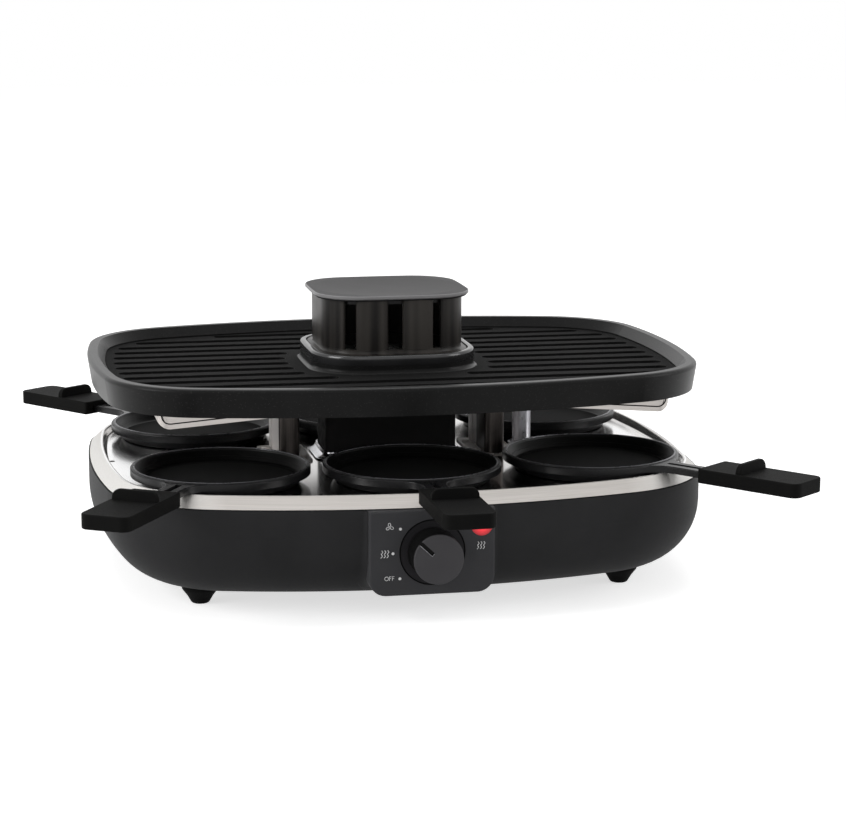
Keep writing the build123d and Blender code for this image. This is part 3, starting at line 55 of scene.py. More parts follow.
camera_data = bpy.data.cameras.new("camera")
camera_data.sensor_width = SENSOR_WIDTH
camera_data.lens = FOCAL_PIXELS * SENSOR_WIDTH / IMAGE_WIDTH
camera_data.shift_x, camera_data.shift_y = CAMERA_SHIFT
camera = bpy.data.objects.new("camera", camera_data)
bpy.context.scene.collection.objects.link(camera)
back = Vector((
    math.sin(CAMERA_AZIMUTH) * math.cos(CAMERA_ELEVATION),
    -math.cos(CAMERA_AZIMUTH) * math.cos(CAMERA_ELEVATION),
    math.sin(CAMERA_ELEVATION),
))
camera.location = CAMERA_TARGET + back * CAMERA_DISTANCE
camera.rotation_mode = "QUATERNION"
camera.rotation_quaternion = (-back).to_track_quat("-Z", "Y")
bpy.context.scene.camera = camera


# Materials
def srgb(text):
    """A linear colour from a web colour such as 2b2b2c."""
    parts = [int(text[i:i + 2], 16) / 255 for i in (0, 2, 4)]
    return tuple(p / 12.92 if p <= 0.04045 else ((p + 0.055) / 1.055) ** 2.4 for p in parts) + (1,)


def calculated(tree, operation, first, second):
    """A maths node's result from two values, each a socket or a number."""
    node = tree.nodes.new("ShaderNodeMath")
    node.operation = operation
    for socket, value in zip(node.inputs, (first, second)):
        if isinstance(value, (int, float)):
            socket.default_value = value
        else:
            tree.links.new(value, socket)
    return node.outputs["Value"]


class Surface:
    """A principled material with helpers for its node tree."""

    def __init__(self, name, colour, roughness, metallic=0.0, specular=0.5):
        self.material = bpy.data.materials.new(name)
        self.material.use_nodes = True
        self.tree = self.material.node_tree
        self.shader = self.tree.nodes["Principled BSDF"]
        self.shader.inputs["Base Color"].default_value = srgb(colour)
        self.shader.inputs["Roughness"].default_value = roughness
        self.shader.inputs["Metallic"].default_value = metallic
        self.shader.inputs["Specular IOR Level"].default_value = specular
        coordinates = self.tree.nodes.new("ShaderNodeTexCoord")
        self.place = coordinates.outputs["Object"]
        self.facing = coordinates.outputs["Normal"]

    def link(self, source, target):
        self.tree.links.new(source, target)

    def noise(self, scale, stretch=(1, 1, 1), detail=2.0):
        """Noise over the surface; scale is in cells a metre, stretched by the three factors."""
        mapping = self.tree.nodes.new("ShaderNodeMapping")
        mapping.inputs["Scale"].default_value = stretch
        self.link(self.place, mapping.inputs["Vector"])
        node = self.tree.nodes.new("ShaderNodeTexNoise")
        node.inputs["Scale"].default_value = scale
        node.inputs["Detail"].default_value = detail
        self.link(mapping.outputs["Vector"], node.inputs["Vector"])
        return node.outputs["Fac"]

    def flecks(self, scale, size, share):
        """Round flecks of this size, as a share of a cell, in this share of the cells."""
        node = self.tree.nodes.new("ShaderNodeTexVoronoi")
        node.inputs["Scale"].default_value = scale
        self.link(self.place, node.inputs["Vector"])
        near = self.calculate("LESS_THAN", node.outputs["Distance"], size)
        split = self.tree.nodes.new("ShaderNodeSeparateColor")
        self.link(node.outputs["Color"], split.inputs["Color"])
        chosen = self.calculate("LESS_THAN", split.outputs["Red"], share)
        return self.calculate("MULTIPLY", near, chosen)

    def part_of(self, vector, axis):
        """One component of a place or a normal."""
        node = self.tree.nodes.new("ShaderNodeSeparateXYZ")
        self.link(vector, node.inputs["Vector"])
        return node.outputs[axis]

    def distance(self, point):
        """Distance from a point of the object."""
        node = self.tree.nodes.new("ShaderNodeVectorMath")
        node.operation = "DISTANCE"
        self.link(self.place, node.inputs[0])
        node.inputs[1].default_value = point
        return node.outputs["Value"]

    def calculate(self, operation, first, second):
        return calculated(self.tree, operation, first, second)

    def ramp(self, factor, low, high, low_value, high_value):
        """Maps a factor between low and high to values between low_value and high_value."""
        node = self.tree.nodes.new("ShaderNodeMapRange")
        for socket, value in zip(
            ("From Min", "From Max", "To Min", "To Max"), (low, high, low_value, high_value)
        ):
            node.inputs[socket].default_value = value
        self.link(factor, node.inputs["Value"])
        return node.outputs["Result"]

    def tint(self, factor, low_colour, high_colour):
        """Colours the surface between two web colours by a factor."""
        node = self.tree.nodes.new("ShaderNodeMix")
        node.data_type = "RGBA"
        self.link(factor, node.inputs["Factor"])
        colours = [socket for socket in node.inputs if socket.type == "RGBA"]
        for socket, value in zip(colours, (low_colour, high_colour)):
            if isinstance(value, str):
                socket.default_value = srgb(value)
            else:
                self.link(value, socket)
        result = [socket for socket in node.outputs if socket.type == "RGBA"][0]
        self.link(result, self.shader.inputs["Base Color"])
        return result

    def roughen(self, factor, low, high, low_value, high_value):
        rough = self.ramp(factor, low, high, low_value, high_value)
        self.link(rough, self.shader.inputs["Roughness"])

    def bump(self, height, strength, distance):
        node = self.tree.nodes.new("ShaderNodeBump")
        node.inputs["Strength"].default_value = strength
        node.inputs["Distance"].default_value = distance
        self.link(height, node.inputs["Height"])
        self.link(node.outputs["Normal"], self.shader.inputs["Normal"])


def moulded(name, dark, light, roughness, grain, strength, specular=0.2):
    """Moulded plastic: a fine erosion texture and a slight unevenness of colour and gloss."""
    surface = Surface(name, dark, roughness, specular=specular)
    fine = surface.noise(grain, detail=3.0)
    surface.tint(surface.ramp(surface.noise(30), 0.35, 0.65, 0, 1), dark, light)
    surface.roughen(fine, 0.3, 0.7, roughness - 0.06, roughness + 0.06)
    surface.bump(fine, strength, 0.0002)
    return surface


def coated(name, side, flat, fleck, gloss, levels, fleck_share, specular, glint="ffffff", edge=None):
    """Non-stick coating with sparse flecks: its flats under a level are rougher and take their own
    colours.

    side and flat are pairs of colours, gloss the roughness of each, and levels, in metres,
    are where the flats count in full and where they no longer count. A flat colour darker than
    the side colour is painted shade on the flats, a lighter one painted light. glint tints the
    gloss that is seen head on and leaves the gloss at a glance. edge is the colour of a painted
    highlight on the steep faces above a level, with the two levels between which it comes in.
    """
    surface = Surface(name, side[0], gloss[0], specular=specular)
    surface.shader.inputs["Specular Tint"].default_value = srgb(glint)
    level = surface.ramp(surface.part_of(surface.facing, "Z"), 0.93, 0.985, 0, 1)
    low = surface.ramp(surface.part_of(surface.place, "Z"), levels[0], levels[1], 1, 0)
    field = surface.calculate("MULTIPLY", level, low)
    fine = surface.noise(2600, detail=3.0)
    uneven = surface.ramp(surface.noise(45), 0.3, 0.7, 0, 1)
    side_colour = surface.tint(uneven, *side)
    flat_colour = surface.tint(uneven, *flat)
    # The flat colours paint shade onto the plate's field and light onto the lid's top
    base = surface.tint(field, side_colour, flat_colour)
    # A painted highlight on the steep faces above a level
    if edge:
        steep = surface.ramp(level, 0, 1, 1, 0)
        above = surface.ramp(surface.part_of(surface.place, "Z"), edge[1], edge[2], 0, 1)
        base = surface.tint(surface.calculate("MULTIPLY", steep, above), base, edge[0])
    surface.tint(surface.flecks(1500, 0.3, fleck_share), base, fleck)
    grain = surface.ramp(fine, 0.3, 0.7, -0.06, 0.06)
    roughness = surface.calculate("ADD", surface.ramp(field, 0, 1, *gloss), grain)
    surface.link(roughness, surface.shader.inputs["Roughness"])
    surface.bump(fine, 0.2, 0.00012)
    return surface


def brushed(name, dark, light, roughness, stretch, grain=900, strength=0.06, metallic=1.0):
    """Brushed steel: long fine scratches along one direction."""
    surface = Surface(name, light, roughness, metallic)
    scratches = surface.noise(grain, stretch, 5.0)
    surface.tint(surface.ramp(scratches, 0.3, 0.7, 0, 1), dark, light)
    surface.roughen(scratches, 0.3, 0.7, roughness - 0.04, roughness + 0.05)
    surface.bump(scratches, strength, 0.00004)
    return surface


def polished(name, dark, light, roughness, metallic, specular=0.5):
    """Smooth metal or enamel with faint unevenness."""
    surface = Surface(name, light, roughness, metallic, specular)
    surface.tint(surface.ramp(surface.noise(40), 0.35, 0.65, 0, 1), dark, light)
    surface.roughen(surface.noise(220), 0.3, 0.7, roughness * 0.8, roughness * 1.2)
    return surface


def tray_steel():
    """Bright field inside a band that is brushed along the outline, both paler at the ends as painted
    reflection.
    """
    surface = Surface("tray_steel", "cbc8c5", 0.2, metallic=1.0)
    flat = surface.ramp(surface.part_of(surface.facing, "Z"), 0.95, 0.985, 0, 1)
    along = surface.calculate("ABSOLUTE", surface.part_of(surface.place, "X"), 0)
    end = surface.ramp(along, 0.13, 0.18, 0, 1)
    lines = surface.noise(700, (0.03, 0.03, 5.0), 5.0)
    round_grain = surface.ramp(lines, 0.3, 0.7, 0, 1)
    long_grain = surface.ramp(surface.noise(700, (0.03, 5.0, 1.0), 4.0), 0.3, 0.7, 0, 1)
    band_colour = surface.tint(round_grain, "aca8a4", "bfbbb7")
    field_colour = surface.tint(long_grain, "d2d0ce", "dedcda")
    middle_colour = surface.tint(flat, band_colour, field_colour)
    # Painted reflection: past 0.13 m from the middle, field and band are painted near white as if
    # mirroring the white surround, and their tilted faces turn less metallic
    field_end_reflection = surface.tint(long_grain, "fafafa", "ffffff")
    band_end_reflection = surface.tint(long_grain, "d8d6d2", "ebe9e6")
    painted_end_reflection = surface.tint(flat, band_end_reflection, field_end_reflection)
    surface.tint(end, middle_colour, painted_end_reflection)
    surface.roughen(flat, 0, 1, 0.46, 0.15)
    tilted = surface.calculate("MULTIPLY", end, surface.ramp(flat, 0, 1, 1, 0))
    surface.link(surface.ramp(tilted, 0, 1, 1.0, 0.3), surface.shader.inputs["Metallic"])
    surface.bump(lines, 0.05, 0.00004)
    return surface


def hood_enamel():
    """Dark glossy enamel with pale streaks down the staves, painted sheen."""
    surface = Surface("hood_enamel", "1a1715", 0.3, specular=0.14)
    # Painted sheen: vertical streaks paler than the enamel stand in for reflections down the staves
    streaks = surface.noise(110, (1, 1, 0.03), 1.0)
    surface.tint(surface.ramp(streaks, 0.36, 0.66, 0, 1), "151312", "3a3734")
    surface.roughen(surface.noise(60), 0.3, 0.7, 0.28, 0.34)
    return surface


# Depths of the knob's face and of its skirt's face, in metres
KNOB_FRONT = (-0.1947, -0.1941)
KNOB_SKIRT = (-0.1800, -0.1795)


def knob_plastic():
    """Grey satin on the knob's face, with painted shade: darker on the face of its skirt and black
    round its side.
    """
    surface = Surface("knob_plastic", "3c3b3d", 0.5, specular=0.1)
    depth = surface.part_of(surface.place, "Y")
    front = surface.ramp(depth, *KNOB_FRONT, 1, 0)
    fine = surface.noise(2400, detail=3.0)
    face = surface.tint(surface.ramp(surface.noise(30), 0.35, 0.65, 0, 1), "424143", "464547")
    # Painted shade: the one moulding is painted darker on its skirt's face and black round its side
    upright = surface.ramp(surface.part_of(surface.facing, "Y"), -0.95, -0.85, 1, 0)
    deep = surface.ramp(depth, *KNOB_SKIRT, 0, 1)
    skirt = surface.tint(surface.calculate("MULTIPLY", upright, deep), "080808", "222123")
    surface.tint(front, skirt, face)
    surface.roughen(fine, 0.3, 0.7, 0.46, 0.56)
    surface.bump(fine, 0.12, 0.0002)
    return surface


HOUSING = moulded("housing_plastic", "212122", "252526", 0.55, 2200, 0.25, 0.12)
PANEL = moulded("panel_plastic", "38383a", "3c3c3e", 0.52, 2400, 0.16, 0.12)
KNOB = knob_plastic()
GRIP = moulded("grip_plastic", "0a0a0a", "0e0e0d", 0.6, 1700, 0.35, 0.05)
INNER = moulded("inner_plastic", "1c1c1d", "222223", 0.6, 1500, 0.2)
RUBBER = moulded("foot_rubber", "0b0b0b", "0f0f0f", 0.75, 1300, 0.3, 0.1)
# The plate's flats are painted darker than its sides: painted shade on the cooking field
PLATE = coated(
    "plate_coating", ("131313", "171717"), ("070707", "0a0a0a"), "383736", (0.34, 0.94),
    (0.1405, 0.1415), 0.1, 0.4, "7c7c7c",
)
NECK = polished("neck_glaze", "2c2c2d", "363637", 0.16, 0.35, 0.7)
PAN = coated(
    "pan_coating", ("151516", "19191a"), ("151516", "19191a"), "262626", (0.3, 0.34),
    (0.0795, 0.0805), 0.04, 0.5, "a8a8a8",
)
# Painted shade: the pans' own coating, painted much darker inside the bowl
PAN_INSIDE_SHADE = coated(
    "pan_inside_shade", ("060606", "090909"), ("060606", "090909"), "161616", (0.4, 0.9),
    (0.0795, 0.0805), 0.03, 0.5, "b0b0b0",
)
# Painted highlight: pale metal for the bead, a light line along the inside of each pan's rim
PAN_RIM_HIGHLIGHT = polished("pan_rim_highlight", "68686b", "7c7c80", 0.3, 0.7)
TRAY = tray_steel()
TRAY_SWEEP = brushed("tray_sweep", "e0dedc", "efedeb", 0.2, (0.03, 5, 1), 700, 0.04)
# Painted light and shade on the posts: pale, mostly diffuse steel, also on the clips, bridges and
# post screws, paints the light on the posts' columns; a dark copy paints the fronts' shade
SHEET = brushed("sheet_steel", "e4e0dd", "f2eeeb", 0.5, (4, 4, 0.03), metallic=0.15)
POST_FRONT_SHADED = brushed("post_front_shaded_steel", "3e3a38", "544f4c", 0.32, (4, 4, 0.03), metallic=0.85)
FRAME = brushed("frame_steel", "b0aba7", "c4bfbb", 0.3, (0.03, 4, 4))
CHROME = polished("chrome", "b4b4b8", "cfcfd2", 0.16, 1.0)
CONDUIT = polished("conduit_chrome", "c6c6cc", "d6d6dc", 0.34, 0.75)
SCREW = polished("screw_steel", "8e8e90", "b0b0b2", 0.28, 1.0)
ELEMENT = polished("element_sheath", "4a4541", "5b5650", 0.42, 1.0)
BLACK = polished("black_enamel", "0a0a0a", "0e0d0d", 0.5, 0.0, 0.08)
DUCT = polished("duct_enamel", "262626", "2a2929", 0.62, 0.0, 0.04)
HOOD = hood_enamel()
# The lid's top is painted lighter than its sides as painted light, and the pale edge colour is a
# painted highlight along its top edge
LID = coated(
    "lid_coating", ("1a191a", "1f1e1f"), ("242324", "292829"), "3a393a", (0.3, 0.5),
    (0.3, 0.31), 0.02, 0.18, edge=("807f80", 0.1888, 0.1894),
)
FILTER = polished("filter_aluminium", "5a5a5a", "6e6e6e", 0.4, 1.0)
CERAMIC = moulded("ceramic", "c8c3b6", "d0cabe", 0.4, 900, 0.08, 0.4)
SWITCH = moulded("switch_plastic", "35332f", "3d3a35", 0.5, 1200, 0.1)
SEAM = moulded("seam_shadow", "0a0a0a", "0e0e0e", 0.8, 1200, 0.1, 0.05)
MARK = moulded("mark_paint", "e0e0e0", "ececec", 0.5, 2000, 0.05)
HIGHLIGHT_PAINT = moulded("pointer_highlight", "88888c", "9c9ca0", 0.4, 2000, 0.05)

dressing = {
    "base_housing": HOUSING, "bottom_cover": HOUSING, "bottom_screws": SCREW,
    "cable_conduit": CONDUIT, "conduit_ring": CONDUIT, "control_knob": KNOB,
    "control_panel": PANEL, "cord_gland": INNER, "duct_collar": CHROME,
    "element_clips": SHEET, "element_terminal_block": CERAMIC, "fan_housing": INNER,
    "fan_housing_screws": SCREW, "fan_motor": SCREW, "fan_shaft": SCREW, "fan_wheel": INNER,
    "frame_bridges": SHEET, "grease_filter": FILTER, "grill_plate": PLATE,
    "heating_element": ELEMENT, "hood_lid": LID, "motor_screws": SCREW, "post_left": SHEET,
    "post_right": SHEET, "post_screws": SHEET, "reflector_frame": FRAME,
    "rotary_switch": SWITCH, "smoke_funnel": BLACK, "smoke_hood": HOOD, "steel_tray": TRAY,
    "switch_nut": SCREW, "switch_shaft": SCREW, "thermal_cutout": SWITCH,
    "tower_duct": DUCT, "wiring_terminal_block": SWITCH,
}
PAN_PLACES = {
    "front_left": (-125.2, -78.0), "front_middle": (0, -90.6), "front_right": (125.2, -78.0),
    "rear_left": (-125.2, 78.0), "rear_middle": (0, 90.6), "rear_right": (125.2, 78.0),
}
FOOT_PLACES = {
    "front_left": (-141.6, -95.0), "front_right": (141.6, -95.0),
    "rear_left": (-141.6, 95.0), "rear_right": (141.6, 95.0),
}
for place in PAN_PLACES:
    dressing[f"pan_{place}"] = PAN
    dressing[f"grip_{place}"] = GRIP
    dressing[f"grip_screw_{place}"] = SCREW
for place in FOOT_PLACES:
    dressing[f"foot_{place}"] = RUBBER


def dress(node, surface):
    """Gives a CAD node its material."""
    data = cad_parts[node].data
    data.materials.clear()
    data.materials.append(surface.material)


# Indicator: a red lens that glows brightest over its lamp
LENS_HOT = 0.0008
LENS_EDGE = 0.0066
LENS_BRIGHT = 1.3
LENS_DIM = 0.28
LAMP_GLOW = 2.0
lens = Surface("lens_red", "7c060c", 0.12)
lens.shader.inputs["Emission Color"].default_value = srgb("ff2c3a")
lens_low, lens_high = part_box("indicator_lens")
lens_r = (lens_high.z - lens_low.z) / 2
lens_centre = (lens_low.x + lens_r, lens_low.y, lens_low.z + lens_r)
lens_glow = lens.ramp(lens.distance(lens_centre), LENS_HOT, LENS_EDGE, LENS_BRIGHT, LENS_DIM)
lens.link(lens_glow, lens.shader.inputs["Emission Strength"])
lamp = Surface("lamp_glow", "ff9080", 0.3)
lamp.shader.inputs["Emission Color"].default_value = srgb("ff6a50")
lamp.shader.inputs["Emission Strength"].default_value = LAMP_GLOW
dressing["indicator_lens"] = lens
dressing["pilot_lamp"] = lamp
for node, surface in dressing.items():
    dress(node, surface)

# Shapes: lengths from here to the studio are in millimetres until they become a mesh
MM = 0.001


def piece(name, data, body, surface):
    """A new object on a body."""
    made = bpy.data.objects.new(name, data)
    bpy.context.scene.collection.objects.link(made)
    made.data.materials.append(surface.material)
    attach(made, body)
    return made


def shell(name, parts, body, surface, sharp=32):
    """A piece of one mesh from sets of points and faces, with edges past sharp degrees kept."""
    mesh = bpy.data.meshes.new(name)
    points, faces = [], []
    for part_points, part_faces in parts:
        start = len(points)
        points += [tuple(value * MM for value in point) for point in part_points]
        faces += [tuple(start + index for index in face) for face in part_faces]
    mesh.from_pydata(points, [], faces)
    work = bmesh.new()
    work.from_mesh(mesh)
    bmesh.ops.remove_doubles(work, verts=work.verts, dist=0.000001)
    bmesh.ops.recalc_face_normals(work, faces=work.faces)
    work.to_mesh(mesh)
    work.free()
    mesh.shade_smooth()
    mesh.set_sharp_from_angle(angle=math.radians(sharp))
    return piece(name, mesh, body, surface)


def softened(corners, closed=False, steps=6):
    """A line through corners, each (a, b, radius), with the corners rounded by tangent arcs."""
    line = []
    count = len(corners)
    for i, (a, b, radius) in enumerate(corners):
        if radius == 0 or (not closed and i in (0, count - 1)):
            line.append((a, b))
            continue
        here = Vector((a, b))
        before = Vector(corners[i - 1][:2]) - here
        after = Vector(corners[(i + 1) % count][:2]) - here
        before.normalize()
        after.normalize()
        half = before.angle(after) / 2
        reach = radius / math.tan(half)
        centre = here + (before + after).normalized() * (radius / math.sin(half))
        first = here + before * reach - centre
        last = here + after * reach - centre
        turn = first.angle_signed(last)
        for k in range(steps + 1):
            arm = Matrix.Rotation(-turn * k / steps, 2) @ first
            line.append((centre.x + arm.x, centre.y + arm.y))
    return line


def lathe(profile, centre, steps):
    """A profile of (radius, height) turned round a vertical axis."""
    points, faces = [], []
    count = len(profile)
    for i in range(steps):
        turn = 2 * math.pi * i / steps
        for radius, height in profile:
            points.append((
                centre[0] + radius * math.cos(turn), centre[1] + radius * math.sin(turn),
                centre[2] + height,
            ))
    for i in range(steps):
        j = (i + 1) % steps
        for k in range(count - 1):
            faces.append((i * count + k, j * count + k, j * count + k + 1, i * count + k + 1))
    return points, faces


def loft(sections, capped=False, looped=False):
    """Joins closed sections of equally many points; looped joins the last to the first."""
    points = [point for section in sections for point in section]
    count = len(sections[0])
    faces = []
    rows = len(sections) if looped else len(sections) - 1
    for row in range(rows):
        low, high = row * count, (row + 1) % len(sections) * count
        for k in range(count):
            after = (k + 1) % count
            faces.append((low + k, low + after, high + after, high + k))
    if capped:
        last = (len(sections) - 1) * count
        faces.append(tuple(range(count)))
        faces.append(tuple(range(last + count - 1, last - 1, -1)))
    return points, faces


def corner_middle(half, corner, bow):
    """How far in x and in y the centre of a rounded square's corner lies from its middle."""
    rise = bow - half
    reach = bow - corner
    return (math.sqrt(2 * reach**2 - rise**2) - rise) / 2


def square_ring(half, corner, bow, low_steps=10, high_steps=16):
    """Points and outward normals of a rounded square with bowed sides, as (x, y, nx, ny)."""
    middle = corner_middle(half, corner, bow)
    lean = math.atan2(middle, middle + bow - half)
    quarter = []
    for k in range(low_steps):
        turn = -lean + 2 * lean * k / low_steps
        quarter.append((
            half - bow + bow * math.cos(turn), bow * math.sin(turn), math.cos(turn), math.sin(turn)
        ))
    for k in range(high_steps):
        turn = lean + (math.pi / 2 - 2 * lean) * k / high_steps
        quarter.append((
            middle + corner * math.cos(turn), middle + corner * math.sin(turn),
            math.cos(turn), math.sin(turn),
        ))
    ring = []
    for c, s in ((1, 0), (0, 1), (-1, 0), (0, -1)):
        ring += [
            (x * c - y * s, x * s + y * c, nx * c - ny * s, nx * s + ny * c)
            for x, y, nx, ny in quarter
        ]
    return ring


def ring_section(outline, inset, level):
    """A rounded square, this much smaller, at a level."""
    half, corner, bow = (size - inset for size in outline)
    return [(x, y, level) for x, y, nx, ny in square_ring(half, corner, bow)]


# Pans: a deep bowl with a beaded rim, under the rim band and the arm of the solid
PAN_LOW = 76.3
PAN_BAND_LOW = 5.9
PAN_CUT_INNER = 56.62
PAN_CUT_OUTER = 53.45
PAN_FLOOR = 2.5
PAN_SLACK = 0.05
PAN_STEPS = 96
# From the middle of the underside, up round the rim and down to the middle of the floor
BOWL = softened([
    (0, 0, 0), (51.2, 0, 2.2), (54.2, 6.3, 0), (57.7, 6.6, 0), (58.1, 10.6, 0),
    (57.95, 11.25, 0.3), (56.6, 11.25, 0.3), (55.9, 9.4, 1.2), (51.4, PAN_FLOOR, 3.0),
    (0, PAN_FLOOR, 0),
])
# A bead on the rim, painted pale as a highlight line
BEAD_R = 56.55
BEAD_Z = 11.0
BEAD_WIDE = 0.55
BEAD_HIGH = 0.5
BEAD_STEPS = 8
PAN_BEAD = []
for k in range(BEAD_STEPS + 1):
    turn = math.pi * k / BEAD_STEPS
    PAN_BEAD.append((BEAD_R + BEAD_WIDE * math.cos(turn), BEAD_Z + BEAD_HIGH * math.sin(turn)))
# Bounds of the bowl's inside, which takes the painted shade
INSIDE_LOW = 2.4
INSIDE_WIDE = 56.3


def pan_rim(place, x, y):
    """The rim band and arm of the CAD pan without its bowl."""
    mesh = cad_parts[f"pan_{place}"].data.copy()
    mesh.name = f"pan_rim_{place}"
    work = bmesh.new()
    work.from_mesh(mesh)
    cut = []
    for face in work.faces:
        reach = max(math.hypot(v.co.x - x * MM, v.co.y - y * MM) for v in face.verts) / MM
        low = min(v.co.z for v in face.verts) / MM - PAN_LOW
        high = max(v.co.z for v in face.verts) / MM - PAN_LOW
        wall = reach < PAN_CUT_INNER and low > PAN_FLOOR
        if wall or (reach < PAN_CUT_OUTER and high < PAN_BAND_LOW + PAN_SLACK):
            cut.append(face)
    bmesh.ops.delete(work, geom=cut, context="FACES")
    work.to_mesh(mesh)
    work.free()
    mesh.materials.clear()
    return mesh


for place, (x, y) in PAN_PLACES.items():
    body = f"pan_{place}"
    rim = piece(f"pan_rim_{place}", pan_rim(place, x, y), body, PAN)
    bowl = shell(
        f"pan_bowl_{place}", [lathe(BOWL, (x, y, PAN_LOW), PAN_STEPS)], body, PAN
    )
    # Faces inside the bowl take the painted shade
    bowl.data.materials.append(PAN_INSIDE_SHADE.material)
    for face in bowl.data.polygons:
        reach = math.hypot(face.center.x - x * MM, face.center.y - y * MM) / MM
        if reach < INSIDE_WIDE and face.center.z / MM > PAN_LOW + INSIDE_LOW and face.normal.z > 0:
            face.material_index = 1
    shell(
        f"pan_highlight_bead_{place}", [lathe(PAN_BEAD, (x, y, PAN_LOW), PAN_STEPS)], body, PAN_RIM_HIGHLIGHT
    )
    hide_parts(body)
    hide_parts(body)

# Tray: the rounded step from the crest of the band down to the field
# How far beyond the tray's middle, in x and in y, the arcs of its sides are struck from
TRAY_SHIFT = (412.7, 352.5)
TRAY_BOW_SIDE = 616.5
TRAY_BOW_LONG = 522.4
TRAY_CORNER = 85.2
TRAY_FIELD_Z = 76.0
TRAY_SIDE_STEPS = 16
TRAY_CORNER_STEPS = 14
TRAY_LONG_STEPS = 24
# (inset from the tray's outline, height over the field)
TRAY_SLOPE = (
    (8.5, 5.98), (9.1, 5.92), (9.5, 5.5), (10.0, 3.6), (10.5, 1.8), (11.0, 0.7), (11.5, 0.2),
    (12.0, 0.05), (12.0, -0.3), (9.0, -0.3),
)


def corner_centre():
    """The point at equal steps inside both bowed sides of the tray."""
    wide, deep = TRAY_BOW_SIDE - TRAY_CORNER, TRAY_BOW_LONG - TRAY_CORNER
    apart = math.hypot(*TRAY_SHIFT)
    along = (wide**2 - deep**2 + apart**2) / (2 * apart)
    across = math.sqrt(wide**2 - along**2)
    ux, uy = TRAY_SHIFT[0] / apart, -TRAY_SHIFT[1] / apart
    return (-TRAY_SHIFT[0] + ux * along - uy * across, uy * along + ux * across)


def tray_ring(inset, level):
    """The tray's outline moved in by this much: bowed sides joined by arcs."""
    cx, cy = corner_centre()
    first = math.atan2(cy, cx + TRAY_SHIFT[0])
    second = math.atan2(cy + TRAY_SHIFT[1], cx)
    quarter = []
    for centre_x, centre_y, radius, low, high, steps in (
        (-TRAY_SHIFT[0], 0, TRAY_BOW_SIDE, 0, first, TRAY_SIDE_STEPS),
        (cx, cy, TRAY_CORNER, first, second, TRAY_CORNER_STEPS),
        (0, -TRAY_SHIFT[1], TRAY_BOW_LONG, second, math.pi / 2, TRAY_LONG_STEPS),
    ):
        for k in range(steps):
            turn = low + (high - low) * k / steps
            quarter.append((
                centre_x + (radius - inset) * math.cos(turn),
                centre_y + (radius - inset) * math.sin(turn),
            ))
    top = (0, TRAY_BOW_LONG - TRAY_SHIFT[1] - inset)
    upper = quarter + [top] + [(-x, y) for x, y in quarter[:0:-1]]
    lower = [(-x, -y) for x, y in upper]
    return [(x, y, level) for x, y in upper + lower]


slope_rings = [tray_ring(inset, TRAY_FIELD_Z + rise) for inset, rise in TRAY_SLOPE]
shell("tray_slope", [loft(slope_rings, looped=True)], "base", TRAY_SWEEP, sharp=50)

# Feet: soft cones, wide at the housing and rounded where they stand
FOOT_HEIGHT = 12.0
FOOT_STEPS = 48
FOOT = softened([
    (0, 0, 0), (5.6, 0, 2.2), (8.6, 5.2, 3.0), (12.0, 9.6, 2.0), (12.4, FOOT_HEIGHT, 0),
    (0, FOOT_HEIGHT, 0),
])
for place, (x, y) in FOOT_PLACES.items():
    foot_parts = [lathe(FOOT, (x, y, 0), FOOT_STEPS)]
    foot = shell(f"rubber_foot_{place}", foot_parts, "base", RUBBER)
    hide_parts(f"foot_{place}")

# Posts: a straight channel, a lapped sheet behind and a rounded front that flares at the top
POST_X = 71.5
POST_HALF = 7.0
POST_DEEP = 27.0
POST_LOW = TRAY_FIELD_Z
POST_HIGH = 124.5
POST_SHEET = 1.2
POST_LAP = 0.45
POST_LAP_Y = 14.0
POST_ROUND = 4.2
POST_FLARE = 4.5
POST_FLARE_RISE = 14.0
POST_OUTER_Y = -21.5
POST_INNER_Y = 0.0
POST_CHANNEL_Y = 23.0
POST_CHANNEL_ROUND = 1.0
CHANNEL_STEPS = 4
LAP_ROUND = 1.4
LAP_IN = 0.2
LAP_SHEET = 1.0
FLANGE_HALF = 16.0
FLANGE_ROUND = 3.0
FLANGE_SHEET = 1.1
FLANGE_TOP = 1.5
FLANGE_BEVEL = 0.4
FLANGE_STEPS = 5
FLARE_STEPS = 10
FLARE_R = (POST_FLARE_RISE**2 + POST_FLARE**2) / (2 * POST_FLARE)


def post_levels():
    """Levels from the tray up, closer together in the flare."""
    start = POST_HIGH - POST_FLARE_RISE
    flare = [start + POST_FLARE_RISE * k / FLARE_STEPS for k in range(1, FLARE_STEPS + 1)]
    return [POST_LOW, start] + flare


def front_section(x, side, level):
    """The front sheet in plan: two rounded corners, long towards the duct and short outside."""
    rise = max(level - POST_HIGH + POST_FLARE_RISE, 0)
    wide = POST_HALF + FLARE_R - math.sqrt(FLARE_R**2 - rise**2)
    y = -POST_DEEP
    ends = (POST_OUTER_Y, POST_INNER_Y) if side > 0 else (POST_INNER_Y, POST_OUTER_Y)
    outer = softened([
        (wide, ends[0], 0), (wide, y, POST_ROUND), (-wide, y, POST_ROUND), (-wide, ends[1], 0)
    ])
    narrow = wide - POST_SHEET
    inner = softened([
        (narrow, ends[0], 0), (narrow, y + POST_SHEET, POST_ROUND - POST_SHEET),
        (-narrow, y + POST_SHEET, POST_ROUND - POST_SHEET), (-narrow, ends[1], 0),
    ])
    return [(x + px, py, level) for px, py in outer + inner[::-1]]


def rounded_plan(wide, low_y, high_y, corner, steps):
    """A rectangle in plan with rounded corners, from its half width and its two ends."""
    return softened([
        (wide, low_y, corner), (wide, high_y, corner), (-wide, high_y, corner), (-wide, low_y, corner)
    ], closed=True, steps=steps)


def plan_stack(plans, x):
    """Joins plan outlines, each with its level, round a place on the X axis."""
    return loft([[(x + px, py, level) for px, py in plan] for plan, level in plans], capped=True)


